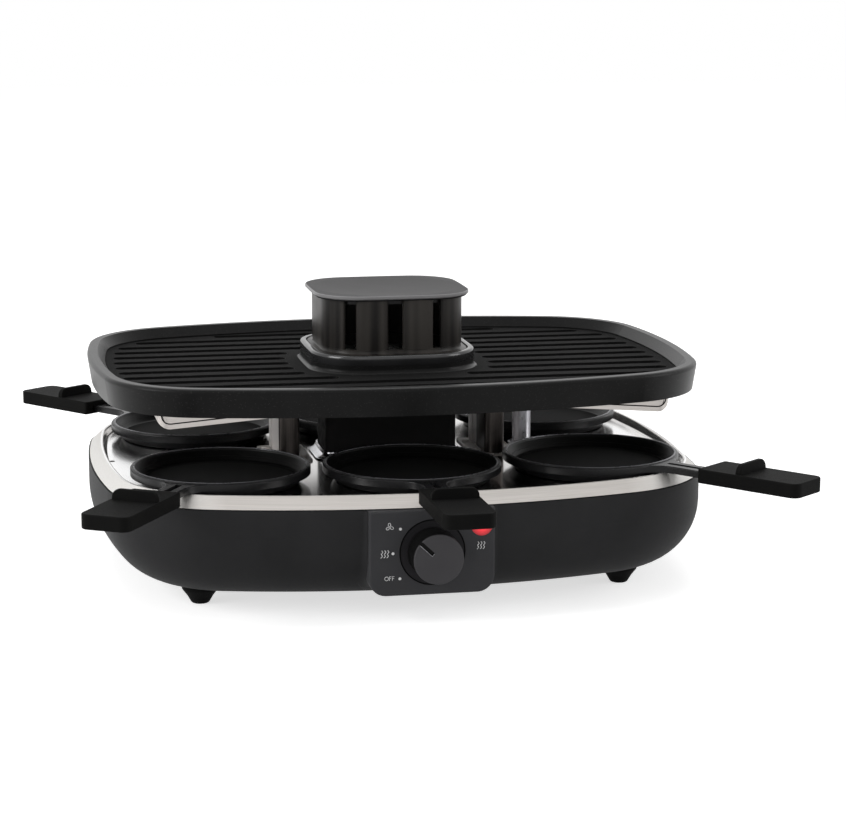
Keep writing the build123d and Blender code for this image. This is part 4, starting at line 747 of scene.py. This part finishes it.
def lap_plan(inner_half):
    """The sheet that laps the rear of the channel."""
    inside = inner_half - LAP_IN
    return softened([
        (POST_HALF, POST_LAP_Y, 0), (POST_HALF, POST_DEEP, LAP_ROUND),
        (-POST_HALF, POST_DEEP, LAP_ROUND), (-POST_HALF, POST_LAP_Y, 0),
        (-inside, POST_LAP_Y, 0), (-inside, POST_DEEP - LAP_SHEET, 0),
        (inside, POST_DEEP - LAP_SHEET, 0), (inside, POST_LAP_Y, 0),
    ], closed=True, steps=CHANNEL_STEPS)


for side, name in ((-1, "left"), (1, "right")):
    x = side * POST_X
    inner_half = POST_HALF - POST_LAP
    channel = rounded_plan(
        inner_half, -POST_CHANNEL_Y, POST_DEEP - POST_LAP, POST_CHANNEL_ROUND, CHANNEL_STEPS
    )
    lap = lap_plan(inner_half)
    flange = rounded_plan(FLANGE_HALF, -POST_DEEP, POST_DEEP, FLANGE_ROUND, FLANGE_STEPS)
    rim_y = POST_DEEP - FLANGE_BEVEL
    flange_rim = rounded_plan(
        FLANGE_HALF - FLANGE_BEVEL, -rim_y, rim_y, FLANGE_ROUND - FLANGE_BEVEL / 2, FLANGE_STEPS
    )
    body_parts = [
        plan_stack(((channel, POST_LOW), (channel, POST_HIGH)), x),
        plan_stack(((lap, POST_LOW), (lap, POST_HIGH)), x),
        plan_stack((
            (flange, POST_LOW), (flange, POST_LOW + FLANGE_SHEET),
            (flange_rim, POST_LOW + FLANGE_TOP),
        ), x),
    ]
    # Columns in the pale painted-light steel, fronts in the dark painted-shade copy
    column = shell(f"post_column_{name}", body_parts, "base", SHEET)
    front = shell(
        f"post_front_{name}",
        [loft([front_section(x, side, level) for level in post_levels()], capped=True)],
        "base", POST_FRONT_SHADED,
    )
    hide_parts(f"post_{name}")
    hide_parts(f"post_{name}")

# Collar round the foot of the duct: a rolled edge and a concave sweep
DUCT_HALF_X = 45.5
DUCT_HALF_Y = 22.5
DUCT_CORNER = 6.0
DUCT_CORNER_STEPS = 8
COLLAR_LOW = TRAY_FIELD_Z
COLLAR_RISE = 5.5
COLLAR_WIDE = 7.3
COLLAR_NEAR = 0.35
COLLAR_SHEET = 1.0
COLLAR_ROLL = 0.3
COLLAR_SWEEP = 12


def duct_section(grow, level):
    """The duct's outline grown by this much."""
    corner = DUCT_CORNER + grow
    wide, deep = DUCT_HALF_X + grow, DUCT_HALF_Y + grow
    plan = rounded_plan(wide, -deep, deep, corner, DUCT_CORNER_STEPS)
    return [(px, py, level) for px, py in plan]


collar_line = [
    (COLLAR_NEAR, 0), (COLLAR_WIDE - COLLAR_ROLL, 0), (COLLAR_WIDE, COLLAR_SHEET / 2),
    (COLLAR_WIDE - COLLAR_ROLL, COLLAR_SHEET),
]
sweep_near = COLLAR_NEAR + COLLAR_SHEET
for k in range(1, COLLAR_SWEEP + 1):
    turn = math.pi / 2 * k / COLLAR_SWEEP
    collar_line.append((
        sweep_near + (COLLAR_WIDE - COLLAR_ROLL - sweep_near) * (1 - math.sin(turn)),
        COLLAR_SHEET + (COLLAR_RISE - COLLAR_SHEET) * (1 - math.cos(turn)),
    ))
collar_line.append((COLLAR_NEAR, COLLAR_RISE))
collar = shell(
    "collar_sweep",
    [loft([duct_section(grow, COLLAR_LOW + rise) for grow, rise in collar_line], looped=True)],
    "base", CHROME,
)
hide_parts("duct_collar")

# Smoke hood: a ring on the neck and six crowned staves with rounded edges
# Outlines are (half width, corner radius, radius of the bowed sides)
HOOD_OUTLINE = (48.3, 30.0, 700.0)
NECK_OUTLINE = (56.5, 35.0, 700.0)
HOOD_WALL = 4.0
HOOD_STAVE_LOW = 154.8
HOOD_TOP = 188.2
HOOD_TOP_BAND = 0.5
# (outline, inset from it, level), once round the ring's section
HOOD_RING = (
    (NECK_OUTLINE, 12.4, 140.7), (NECK_OUTLINE, 12.4, 149.7), (NECK_OUTLINE, 4.6, 149.7),
    (NECK_OUTLINE, 4.6, 151.7), (NECK_OUTLINE, 5.0, 152.1), (HOOD_OUTLINE, -0.9, 152.1),
    (HOOD_OUTLINE, -0.3, 152.4), (HOOD_OUTLINE, 0, 153.0), (HOOD_OUTLINE, 0, 155.1),
    (HOOD_OUTLINE, 4.0, 155.1), (HOOD_OUTLINE, 4.0, 152.1), (NECK_OUTLINE, 14.4, 152.1),
    (NECK_OUTLINE, 14.4, 142.7), (NECK_OUTLINE, 15.9, 142.7), (NECK_OUTLINE, 15.9, 140.7),
)
STAVE_CROWN = 1.5
STAVE_SINK = 0.9
STAVE_ROUND = 1.5
STAVE_STEPS = 28
STAVE_ROUND_STEPS = 6
RING_SIDE_STEPS = 150
RING_CORNER_STEPS = 180
SLOT_SHIFT = 2.4
SLOT_CENTRE = 9.5
SLOT_WIDE = 8.5
SLOT_NARROW = 6.0
SLOT_WIDE_TURN = -31.0
SLOT_NARROW_TURN = 17.0
# (side in x, side in y, turn, width)
SLOT_CORNERS = (
    (-1, -1, SLOT_WIDE_TURN, SLOT_WIDE), (1, -1, SLOT_NARROW_TURN, SLOT_NARROW),
    (-1, 1, SLOT_NARROW_TURN, SLOT_NARROW), (1, 1, SLOT_WIDE_TURN, SLOT_WIDE),
)

base_ring = [ring_section(*level) for level in HOOD_RING]
hood_ring = shell("hood_ring", [loft(base_ring, looped=True)], "hood", HOOD)
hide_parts("smoke_hood")
corner_reach = corner_middle(*HOOD_OUTLINE)
# (x and y where it starts, x and y of its direction, width)
slots = [(-SLOT_SHIFT, 0, 0, -1, SLOT_CENTRE), (SLOT_SHIFT, 0, 0, 1, SLOT_CENTRE)]
for side_x, side_y, angle, width in SLOT_CORNERS:
    turn = math.radians(angle)
    aim = (-math.sin(turn) * side_y, math.cos(turn) * side_y)
    slots.append((side_x * corner_reach, side_y * corner_reach, *aim, width))


def in_slot(x, y):
    """Whether this point of the outline lies in a slot between two staves."""
    for slot_x, slot_y, aim_x, aim_y, width in slots:
        along = (x - slot_x) * aim_x + (y - slot_y) * aim_y
        across = (x - slot_x) * aim_y - (y - slot_y) * aim_x
        if along > 0 and abs(across) < width / 2:
            return True
    return False


def rounding(distance):
    """How far a rounded edge falls back at this distance from the edge."""
    if distance >= STAVE_ROUND:
        return 0
    return STAVE_ROUND - math.sqrt(STAVE_ROUND**2 - (STAVE_ROUND - distance) ** 2)


def stave(run):
    """One stave from its run of outline points."""
    lengths = [0]
    for first, second in zip(run, run[1:]):
        lengths.append(lengths[-1] + math.hypot(second[0] - first[0], second[1] - first[1]))
    whole = lengths[-1]
    edge = []
    for k in range(STAVE_ROUND_STEPS + 1):
        edge.append(STAVE_ROUND * (1 - math.cos(math.pi / 2 * k / STAVE_ROUND_STEPS)))
    span = whole - 2 * STAVE_ROUND
    stations = edge + [STAVE_ROUND + span * k / STAVE_STEPS for k in range(1, STAVE_STEPS)]
    stations += [whole - value for value in edge[::-1]]
    outer, inner = [], []
    for station in stations:
        index = min(range(len(run)), key=lambda i: abs(lengths[i] - station))
        x, y, nx, ny = run[index]
        share = station / whole
        crown = STAVE_CROWN * (1 - (2 * share - 1) ** 2) - STAVE_SINK
        fall = rounding(min(station, whole - station))
        outer.append((x + nx * (crown - fall), y + ny * (crown - fall)))
        inner.append((x - nx * (HOOD_WALL - fall), y - ny * (HOOD_WALL - fall)))
    loop = outer + inner[::-1]
    levels = (HOOD_STAVE_LOW, HOOD_TOP - HOOD_TOP_BAND, HOOD_TOP)
    return loft([[(px, py, level) for px, py in loop] for level in levels], capped=True)


def stave_runs():
    """The runs of outline points between the slots."""
    ring = square_ring(*HOOD_OUTLINE, low_steps=RING_SIDE_STEPS, high_steps=RING_CORNER_STEPS)
    start = next(i for i in range(len(ring)) if in_slot(*ring[i][:2]))
    runs, run = [], []
    for point in ring[start:] + ring[:start]:
        if in_slot(*point[:2]):
            if run:
                runs.append(run)
            run = []
        else:
            run.append(point)
    if run:
        runs.append(run)
    return runs


staves = shell("hood_staves", [stave(run) for run in stave_runs()], "hood", HOOD, sharp=50)
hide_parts("smoke_hood")

# Neck of the plate: a glazed trim over its side and its top edge, as (inset, level)
NECK_TRIM = (
    (0.1, 145.6), (-0.25, 146.2), (-0.3, 150.6), (-0.1, 151.5), (0.4, 152.15), (1.3, 152.45),
    (3.0, 152.45), (3.75, 152.3), (3.75, 151.6), (1.2, 151.4), (0.7, 150.6), (0.7, 145.6),
)
trim = [ring_section(NECK_OUTLINE, inset, level) for inset, level in NECK_TRIM]
shell("neck_trim", [loft(trim, looped=True)], "plate", NECK, sharp=50)

# Frame: a dark tube along the groove of each long side, painted shade in the groove
FRAME_HALF_X = 170.0
GROOVE_IN = 3.5
GROOVE_DROP = 6.0
GROOVE_END_X = FRAME_HALF_X - GROOVE_IN
GROOVE_FOLD_X = 92.0
GROOVE_MIDDLE_Z = POST_HIGH + GROOVE_IN
GROOVE_END_Z = GROOVE_MIDDLE_Z - GROOVE_DROP
GROOVE_TOP_Z = 134.5
GROOVE_ROUND = 5.5
GROOVE_FOLD_ROUND = 6.0
GROOVE_Y = 112.75
GROOVE_LINE = 0.42


def tube(name, runs, radius, body, surface, closed=False):
    """Round lines of this radius through runs of points."""
    curve = bpy.data.curves.new(name, "CURVE")
    curve.dimensions = "3D"
    curve.bevel_depth = radius * MM
    curve.bevel_resolution = 2
    for run in runs:
        spline = curve.splines.new("POLY")
        spline.points.add(len(run) - 1)
        for point, place in zip(spline.points, run):
            point.co = (*(value * MM for value in place), 1)
        spline.use_cyclic_u = closed
    return piece(name, curve, body, surface)


groove_line = softened([
    (-GROOVE_END_X, GROOVE_TOP_Z, 0), (-GROOVE_END_X, GROOVE_END_Z, GROOVE_ROUND),
    (-GROOVE_FOLD_X, GROOVE_MIDDLE_Z, GROOVE_FOLD_ROUND),
    (GROOVE_FOLD_X, GROOVE_MIDDLE_Z, GROOVE_FOLD_ROUND),
    (GROOVE_END_X, GROOVE_END_Z, GROOVE_ROUND), (GROOVE_END_X, GROOVE_TOP_Z, 0),
])
for side, name in ((-1, "front"), (1, "rear")):
    run = [(x, side * GROOVE_Y, z) for x, z in groove_line]
    tube(f"frame_groove_{name}", [run], GROOVE_LINE, "base", SEAM)

# Panel: a concave fillet where the housing sweeps out to it, round its sides and bottom
PANEL_X = -3.75
PANEL_HALF = 40.3
PANEL_LOW = 19.4
PANEL_CORNER = 11.0
PANEL_TOP = 73.6
HOUSING_OUTLINE_Y = 170.9
HOUSING_BOW = 523.4
HOUSING_ROUND = 44.0
HOUSING_ROUND_TOP = 56.0
SWEEP_SIDE = 3.0
SWEEP_CORNER = 5.4
SWEEP_BOTTOM = 1.2
SWEEP_LAP = 0.3
SWEEP_EDGE = 0.08
SWEEP_STEPS = 8
SWEEP_SIDE_STEPS = 9
SWEEP_CORNER_STEPS = 12
SWEEP_DEEP = 3.0


def housing_front(x, z):
    """Where the housing's front face is at this place."""
    level = HOUSING_OUTLINE_Y - HOUSING_BOW + math.sqrt(HOUSING_BOW**2 - x**2)
    drop = max(HOUSING_ROUND_TOP - z, 0)
    return -(level - HOUSING_ROUND + math.sqrt(HOUSING_ROUND**2 - drop**2))


def sweep_section(x, z, nx, nz, reach):
    """The fillet's section at a place on the panel's border, which faces (nx, nz)."""
    front, rear = [], []
    for k in range(SWEEP_STEPS + 1):
        out = -SWEEP_LAP + (reach + SWEEP_LAP) * k / SWEEP_STEPS
        px, pz = x + nx * out, z + nz * out
        surface_y = housing_front(px, pz)
        gap = min(max(reach - out, 0), reach)
        rise = reach - math.sqrt(max(reach**2 - gap**2, 0))
        sink = SWEEP_EDGE if k == SWEEP_STEPS else 0
        front.append((px, surface_y - rise + sink, pz))
        rear.append((px, surface_y + SWEEP_DEEP, pz))
    return front + rear[::-1]


sweep_line = []
for k in range(SWEEP_SIDE_STEPS):
    share = k / SWEEP_SIDE_STEPS
    z = PANEL_TOP + (PANEL_LOW + PANEL_CORNER - PANEL_TOP) * share
    reach = SWEEP_SIDE + (SWEEP_CORNER - SWEEP_SIDE) * share**2
    sweep_line.append((-PANEL_HALF, z, -1, 0, reach))
for k in range(SWEEP_CORNER_STEPS + 1):
    turn = math.pi + math.pi / 2 * k / SWEEP_CORNER_STEPS
    nx, nz = math.cos(turn), math.sin(turn)
    past_half = max(2 * k / SWEEP_CORNER_STEPS - 1, 0)
    reach = SWEEP_CORNER - (SWEEP_CORNER - SWEEP_BOTTOM) * past_half
    sweep_line.append((
        -PANEL_HALF + PANEL_CORNER + PANEL_CORNER * nx,
        PANEL_LOW + PANEL_CORNER + PANEL_CORNER * nz, nx, nz, reach,
    ))
mirrored = [(-x, z, -nx, nz, reach) for x, z, nx, nz, reach in sweep_line[::-1]]
sections = [
    sweep_section(PANEL_X + x, z, nx, nz, reach) for x, z, nx, nz, reach in sweep_line + mirrored
]
shell("panel_sweep", [loft(sections, capped=True)], "base", HOUSING, sharp=60)

# Knob: a painted highlight along one edge of the pointer groove and painted shade along the other
KNOB_X = PANEL_X
KNOB_Z = 46.9
KNOB_FACE_Y = -194.97
POINTER_TURN = math.radians(137)
POINTER_NEAR = 4.7
POINTER_FAR = 15.3
POINTER_HALF = 1.25
POINTER_EDGE_LINE = 0.2
POINTER_SHADE_LINE = 0.1
POINTER_HIGHLIGHT_WRAP = 0.6


def pointer_place(along, across):
    """A place on the knob's face, along the pointer and across it."""
    c, s = math.cos(POINTER_TURN), math.sin(POINTER_TURN)
    return (KNOB_X + along * c - across * s, KNOB_FACE_Y, KNOB_Z + along * s + across * c)


# Painted highlight on the lit edge of the groove, turning part way round its near end
pointer_highlight = [
    pointer_place(POINTER_FAR, POINTER_HALF), pointer_place(POINTER_NEAR, POINTER_HALF),
    pointer_place(POINTER_NEAR, -POINTER_HALF * POINTER_HIGHLIGHT_WRAP),
]
# Painted shade on the other edge of the groove
shaded_pointer_edge = [
    pointer_place(POINTER_FAR, -POINTER_HALF), pointer_place(POINTER_NEAR, -POINTER_HALF)
]
tube("knob_pointer_highlight", [pointer_highlight], POINTER_EDGE_LINE, "knob", HIGHLIGHT_PAINT)
tube("knob_pointer_shade", [shaded_pointer_edge], POINTER_SHADE_LINE, "knob", SEAM)

# Screws: a dark cross on each head that can be seen from below, painted shade standing for its cross
# recess
CROSS_LONG = 1.7
CROSS_WIDE = 0.32
CROSS_PROUD = 0.06
CROSS_SUNK = 0.05
CROSS_TAPER = 0.8
COVER_SCREWS = [(x, y) for x in (-111, 0, 111) for y in (-77, 77)]
COVER_HEAD_Z = 10.4
GRIP_SCREW_REACH = 120.1
GRIP_SCREW_Z = 81.35
HANDLE_TURNS = {
    "front_left": -31.0, "front_middle": 0.6, "front_right": 38.6,
    "rear_left": 218.6, "rear_middle": 180.6, "rear_right": 149.0,
}


def cross(x, y, z):
    """A dark cross of painted shade under a screw head, narrower where it stands proud."""
    parts = []
    for long_x, long_y in ((CROSS_LONG, CROSS_WIDE), (CROSS_WIDE, CROSS_LONG)):
        plan = [(-long_x, -long_y), (long_x, -long_y), (long_x, long_y), (-long_x, long_y)]
        low = [(x + px * CROSS_TAPER, y + py * CROSS_TAPER, z - CROSS_PROUD) for px, py in plan]
        high = [(x + px, y + py, z + CROSS_SUNK) for px, py in plan]
        parts.append(loft([low, high], capped=True))
    return parts


cover_crosses = [part for x, y in COVER_SCREWS for part in cross(x, y, COVER_HEAD_Z)]
shell("cover_screw_crosses", cover_crosses, "base", SEAM)
for place, (x, y) in PAN_PLACES.items():
    turn = math.radians(HANDLE_TURNS[place])
    screw_x = x + GRIP_SCREW_REACH * math.sin(turn)
    screw_y = y - GRIP_SCREW_REACH * math.cos(turn)
    shell(
        f"grip_screw_cross_{place}", cross(screw_x, screw_y, GRIP_SCREW_Z), f"pan_{place}",
        SEAM,
    )

# Panel: a dark ring of painted shade in the gap round the knob's skirt
FACE_Y = -175.0
KNOB_GAP = 20.87
KNOB_GAP_LINE = 0.4
KNOB_GAP_STEPS = 96


def circle_run(x, z, radius, count=24):
    """Points of (x, z) round a circle."""
    turns = [2 * math.pi * i / count for i in range(count)]
    return [(x + radius * math.cos(turn), z + radius * math.sin(turn)) for turn in turns]


gap_circle = circle_run(KNOB_X, KNOB_Z, KNOB_GAP, KNOB_GAP_STEPS)
gap_run = [(x, FACE_Y, z) for x, z in gap_circle]
tube("knob_gap_shade", [gap_run], KNOB_GAP_LINE, "base", SEAM, closed=True)

# Marks on the control panel: dots, a fan, heat waves and the word OFF
MARK_LINE = 0.2
DOT_R = 0.95
DOT_RISE = 0.15
DOT_SUNK = 0.02
DOT_SHOULDER = 0.97
DOT_SHOULDER_RISE = 0.7
DOT_CROWN = 0.6
WAVE_HEIGHT = 5.0
WAVE_SWING = 0.4
WAVE_LEAN = 0.6
WAVE_APART = 1.9
WAVE_STEPS = 24
FAN_LINE = 0.17
FAN_REACH = 1.5
FAN_TURN = 95
PETALS = 3
PETAL_LONG = 1.08
PETAL_WIDE = 0.8
LETTER_LINE = 0.18
LETTER_O = (-33.1, 30.95)
LETTER_O_R = 1.2
LETTER_F_X = (-31.3, -29.4)
LETTER_LOW = 29.7
LETTER_BAR = 31.0
LETTER_HIGH = 32.2
LETTER_ARM = 1.2
LETTER_BAR_ARM = 1.05


def mark(name, runs, radius=MARK_LINE, closed=False):
    """Painted lines on the panel's face through points of (x, z)."""
    placed = [[(x, FACE_Y, z) for x, z in run] for run in runs]
    return tube(name, placed, radius, "base", MARK, closed)


def wave_run(x, z):
    """One rising wisp of heat."""
    run = []
    for i in range(WAVE_STEPS + 1):
        share = i / WAVE_STEPS
        swing = -WAVE_SWING * math.cos(4 * math.pi * share)
        run.append((x + swing + WAVE_LEAN * (share - 0.5), z + WAVE_HEIGHT * (share - 0.5)))
    return run


def heat_mark(name, x, z):
    """Three wisps side by side."""
    mark(name, [wave_run(x + shift, z) for shift in (-WAVE_APART, 0, WAVE_APART)])


def fan_mark(name, x, z):
    """Three petals round a middle."""
    runs = []
    for k in range(PETALS):
        angle = math.radians(FAN_TURN + 360 * k / PETALS)
        c, s = math.cos(angle), math.sin(angle)
        petal = []
        for px, pz in circle_run(0, 0, 1):
            along, across = FAN_REACH + px * PETAL_LONG, pz * PETAL_WIDE
            petal.append((x + along * c - across * s, z + along * s + across * c))
        runs.append(petal)
    mark(name, runs, FAN_LINE, closed=True)


def dot_mark(name, x, z):
    """A printed dot, slightly domed."""
    rings = (
        (DOT_R, DOT_SUNK), (DOT_R * DOT_SHOULDER, -DOT_RISE * DOT_SHOULDER_RISE),
        (DOT_R * DOT_CROWN, -DOT_RISE),
    )
    sections = [
        [(px, FACE_Y + rise, pz) for px, pz in circle_run(x, z, ring)] for ring, rise in rings
    ]
    return shell(name, [loft(sections, capped=True)], "base", MARK)


def letter_f(x):
    """The strokes of an F from its left edge."""
    return [
        [(x, LETTER_LOW), (x, LETTER_HIGH), (x + LETTER_ARM, LETTER_HIGH)],
        [(x, LETTER_BAR), (x + LETTER_BAR_ARM, LETTER_BAR)],
    ]


dot_mark("mark_dot_fan", -24.25, 62.65)
dot_mark("mark_dot_heat", -29.0, 47.0)
dot_mark("mark_dot_off", -24.6, 30.6)
fan_mark("mark_fan", -31.1, 64.2)
heat_mark("mark_heat", -34.1, 46.9)
heat_mark("mark_heat_lamp", 27.6, 49.9)
mark("mark_off_o", [circle_run(*LETTER_O, LETTER_O_R)], LETTER_LINE, closed=True)
mark("mark_off_ff", [stroke for x in LETTER_F_X for stroke in letter_f(x)], LETTER_LINE)

# Studio: pale floor, white surround and soft lamps, in metres
WHITE = (1, 1, 1, 1)
FLOOR_COLOUR = (0.8, 0.8, 0.8, 1)
FLOOR_GLOW = 0.66
FLOOR_GLOSS_GLOW = 0.35
WORLD_SOFT = 0.42


def seen_by(tree, *rays):
    """One where a ray of one of these kinds arrives, from Light Path."""
    path = tree.nodes.new("ShaderNodeLightPath")
    value = path.outputs[rays[0]]
    for ray in rays[1:]:
        value = calculated(tree, "MAXIMUM", value, path.outputs[ray])
    return value


world = bpy.data.worlds.new("studio")
bpy.context.scene.world = world
world.use_nodes = True
tree = world.node_tree
tree.nodes.clear()
soft = tree.nodes.new("ShaderNodeBackground")
soft.inputs["Color"].default_value = WHITE
soft.inputs["Strength"].default_value = WORLD_SOFT
plain = tree.nodes.new("ShaderNodeBackground")
plain.inputs["Color"].default_value = WHITE
plain.inputs["Strength"].default_value = 1.0
mix = tree.nodes.new("ShaderNodeMixShader")
out = tree.nodes.new("ShaderNodeOutputWorld")
plainly = seen_by(tree, "Is Camera Ray", "Is Glossy Ray", "Is Transmission Ray")
tree.links.new(plainly, mix.inputs[0])
tree.links.new(soft.outputs[0], mix.inputs[1])
tree.links.new(plain.outputs[0], mix.inputs[2])
tree.links.new(mix.outputs[0], out.inputs["Surface"])

FLOOR_HALF = 6.0
floor_mesh = bpy.data.meshes.new("floor")
floor_mesh.from_pydata(
    [(-FLOOR_HALF, -FLOOR_HALF, 0), (FLOOR_HALF, -FLOOR_HALF, 0),
     (FLOOR_HALF, FLOOR_HALF, 0), (-FLOOR_HALF, FLOOR_HALF, 0)], [], [(0, 1, 2, 3)],
)
floor = bpy.data.objects.new("floor", floor_mesh)
bpy.context.scene.collection.objects.link(floor)
paper = bpy.data.materials.new("floor_paper")
paper.use_nodes = True
tree = paper.node_tree
tree.nodes.clear()
diffuse = tree.nodes.new("ShaderNodeBsdfDiffuse")
diffuse.inputs["Color"].default_value = FLOOR_COLOUR
glow = tree.nodes.new("ShaderNodeEmission")
glow.inputs["Color"].default_value = WHITE
direct = calculated(tree, "MULTIPLY", seen_by(tree, "Is Camera Ray"), FLOOR_GLOW)
in_gloss = seen_by(tree, "Is Glossy Ray", "Is Transmission Ray")
mirrored_glow = calculated(tree, "MULTIPLY", in_gloss, FLOOR_GLOSS_GLOW)
both = calculated(tree, "ADD", direct, mirrored_glow)
tree.links.new(both, glow.inputs["Strength"])
total = tree.nodes.new("ShaderNodeAddShader")
tree.links.new(diffuse.outputs[0], total.inputs[0])
tree.links.new(glow.outputs[0], total.inputs[1])
out = tree.nodes.new("ShaderNodeOutputMaterial")
tree.links.new(total.outputs[0], out.inputs["Surface"])
floor_mesh.materials.append(paper)


LIGHT_TARGET = Vector((0, 0, 0.1))


def softbox(name, place, width, height, power):
    """An area lamp that faces the object."""
    data = bpy.data.lights.new(name, "AREA")
    data.shape = "RECTANGLE"
    data.size, data.size_y = width, height
    data.energy = power
    lamp_object = bpy.data.objects.new(name, data)
    lamp_object.location = place
    lamp_object.rotation_mode = "QUATERNION"
    lamp_object.rotation_quaternion = (LIGHT_TARGET - Vector(place)).to_track_quat("-Z", "Y")
    bpy.context.scene.collection.objects.link(lamp_object)


softbox("key", (-2.0, -0.6, 0.95), 1.1, 1.3, 26)
softbox("fill", (1.9, -0.8, 0.9), 1.0, 1.3, 12)
softbox("front", (-0.5, -2.5, 1.3), 1.4, 0.8, 3)
softbox("top", (0, 0.4, 2.2), 1.8, 1.2, 16)

bpy.context.scene.view_settings.view_transform = "Standard"
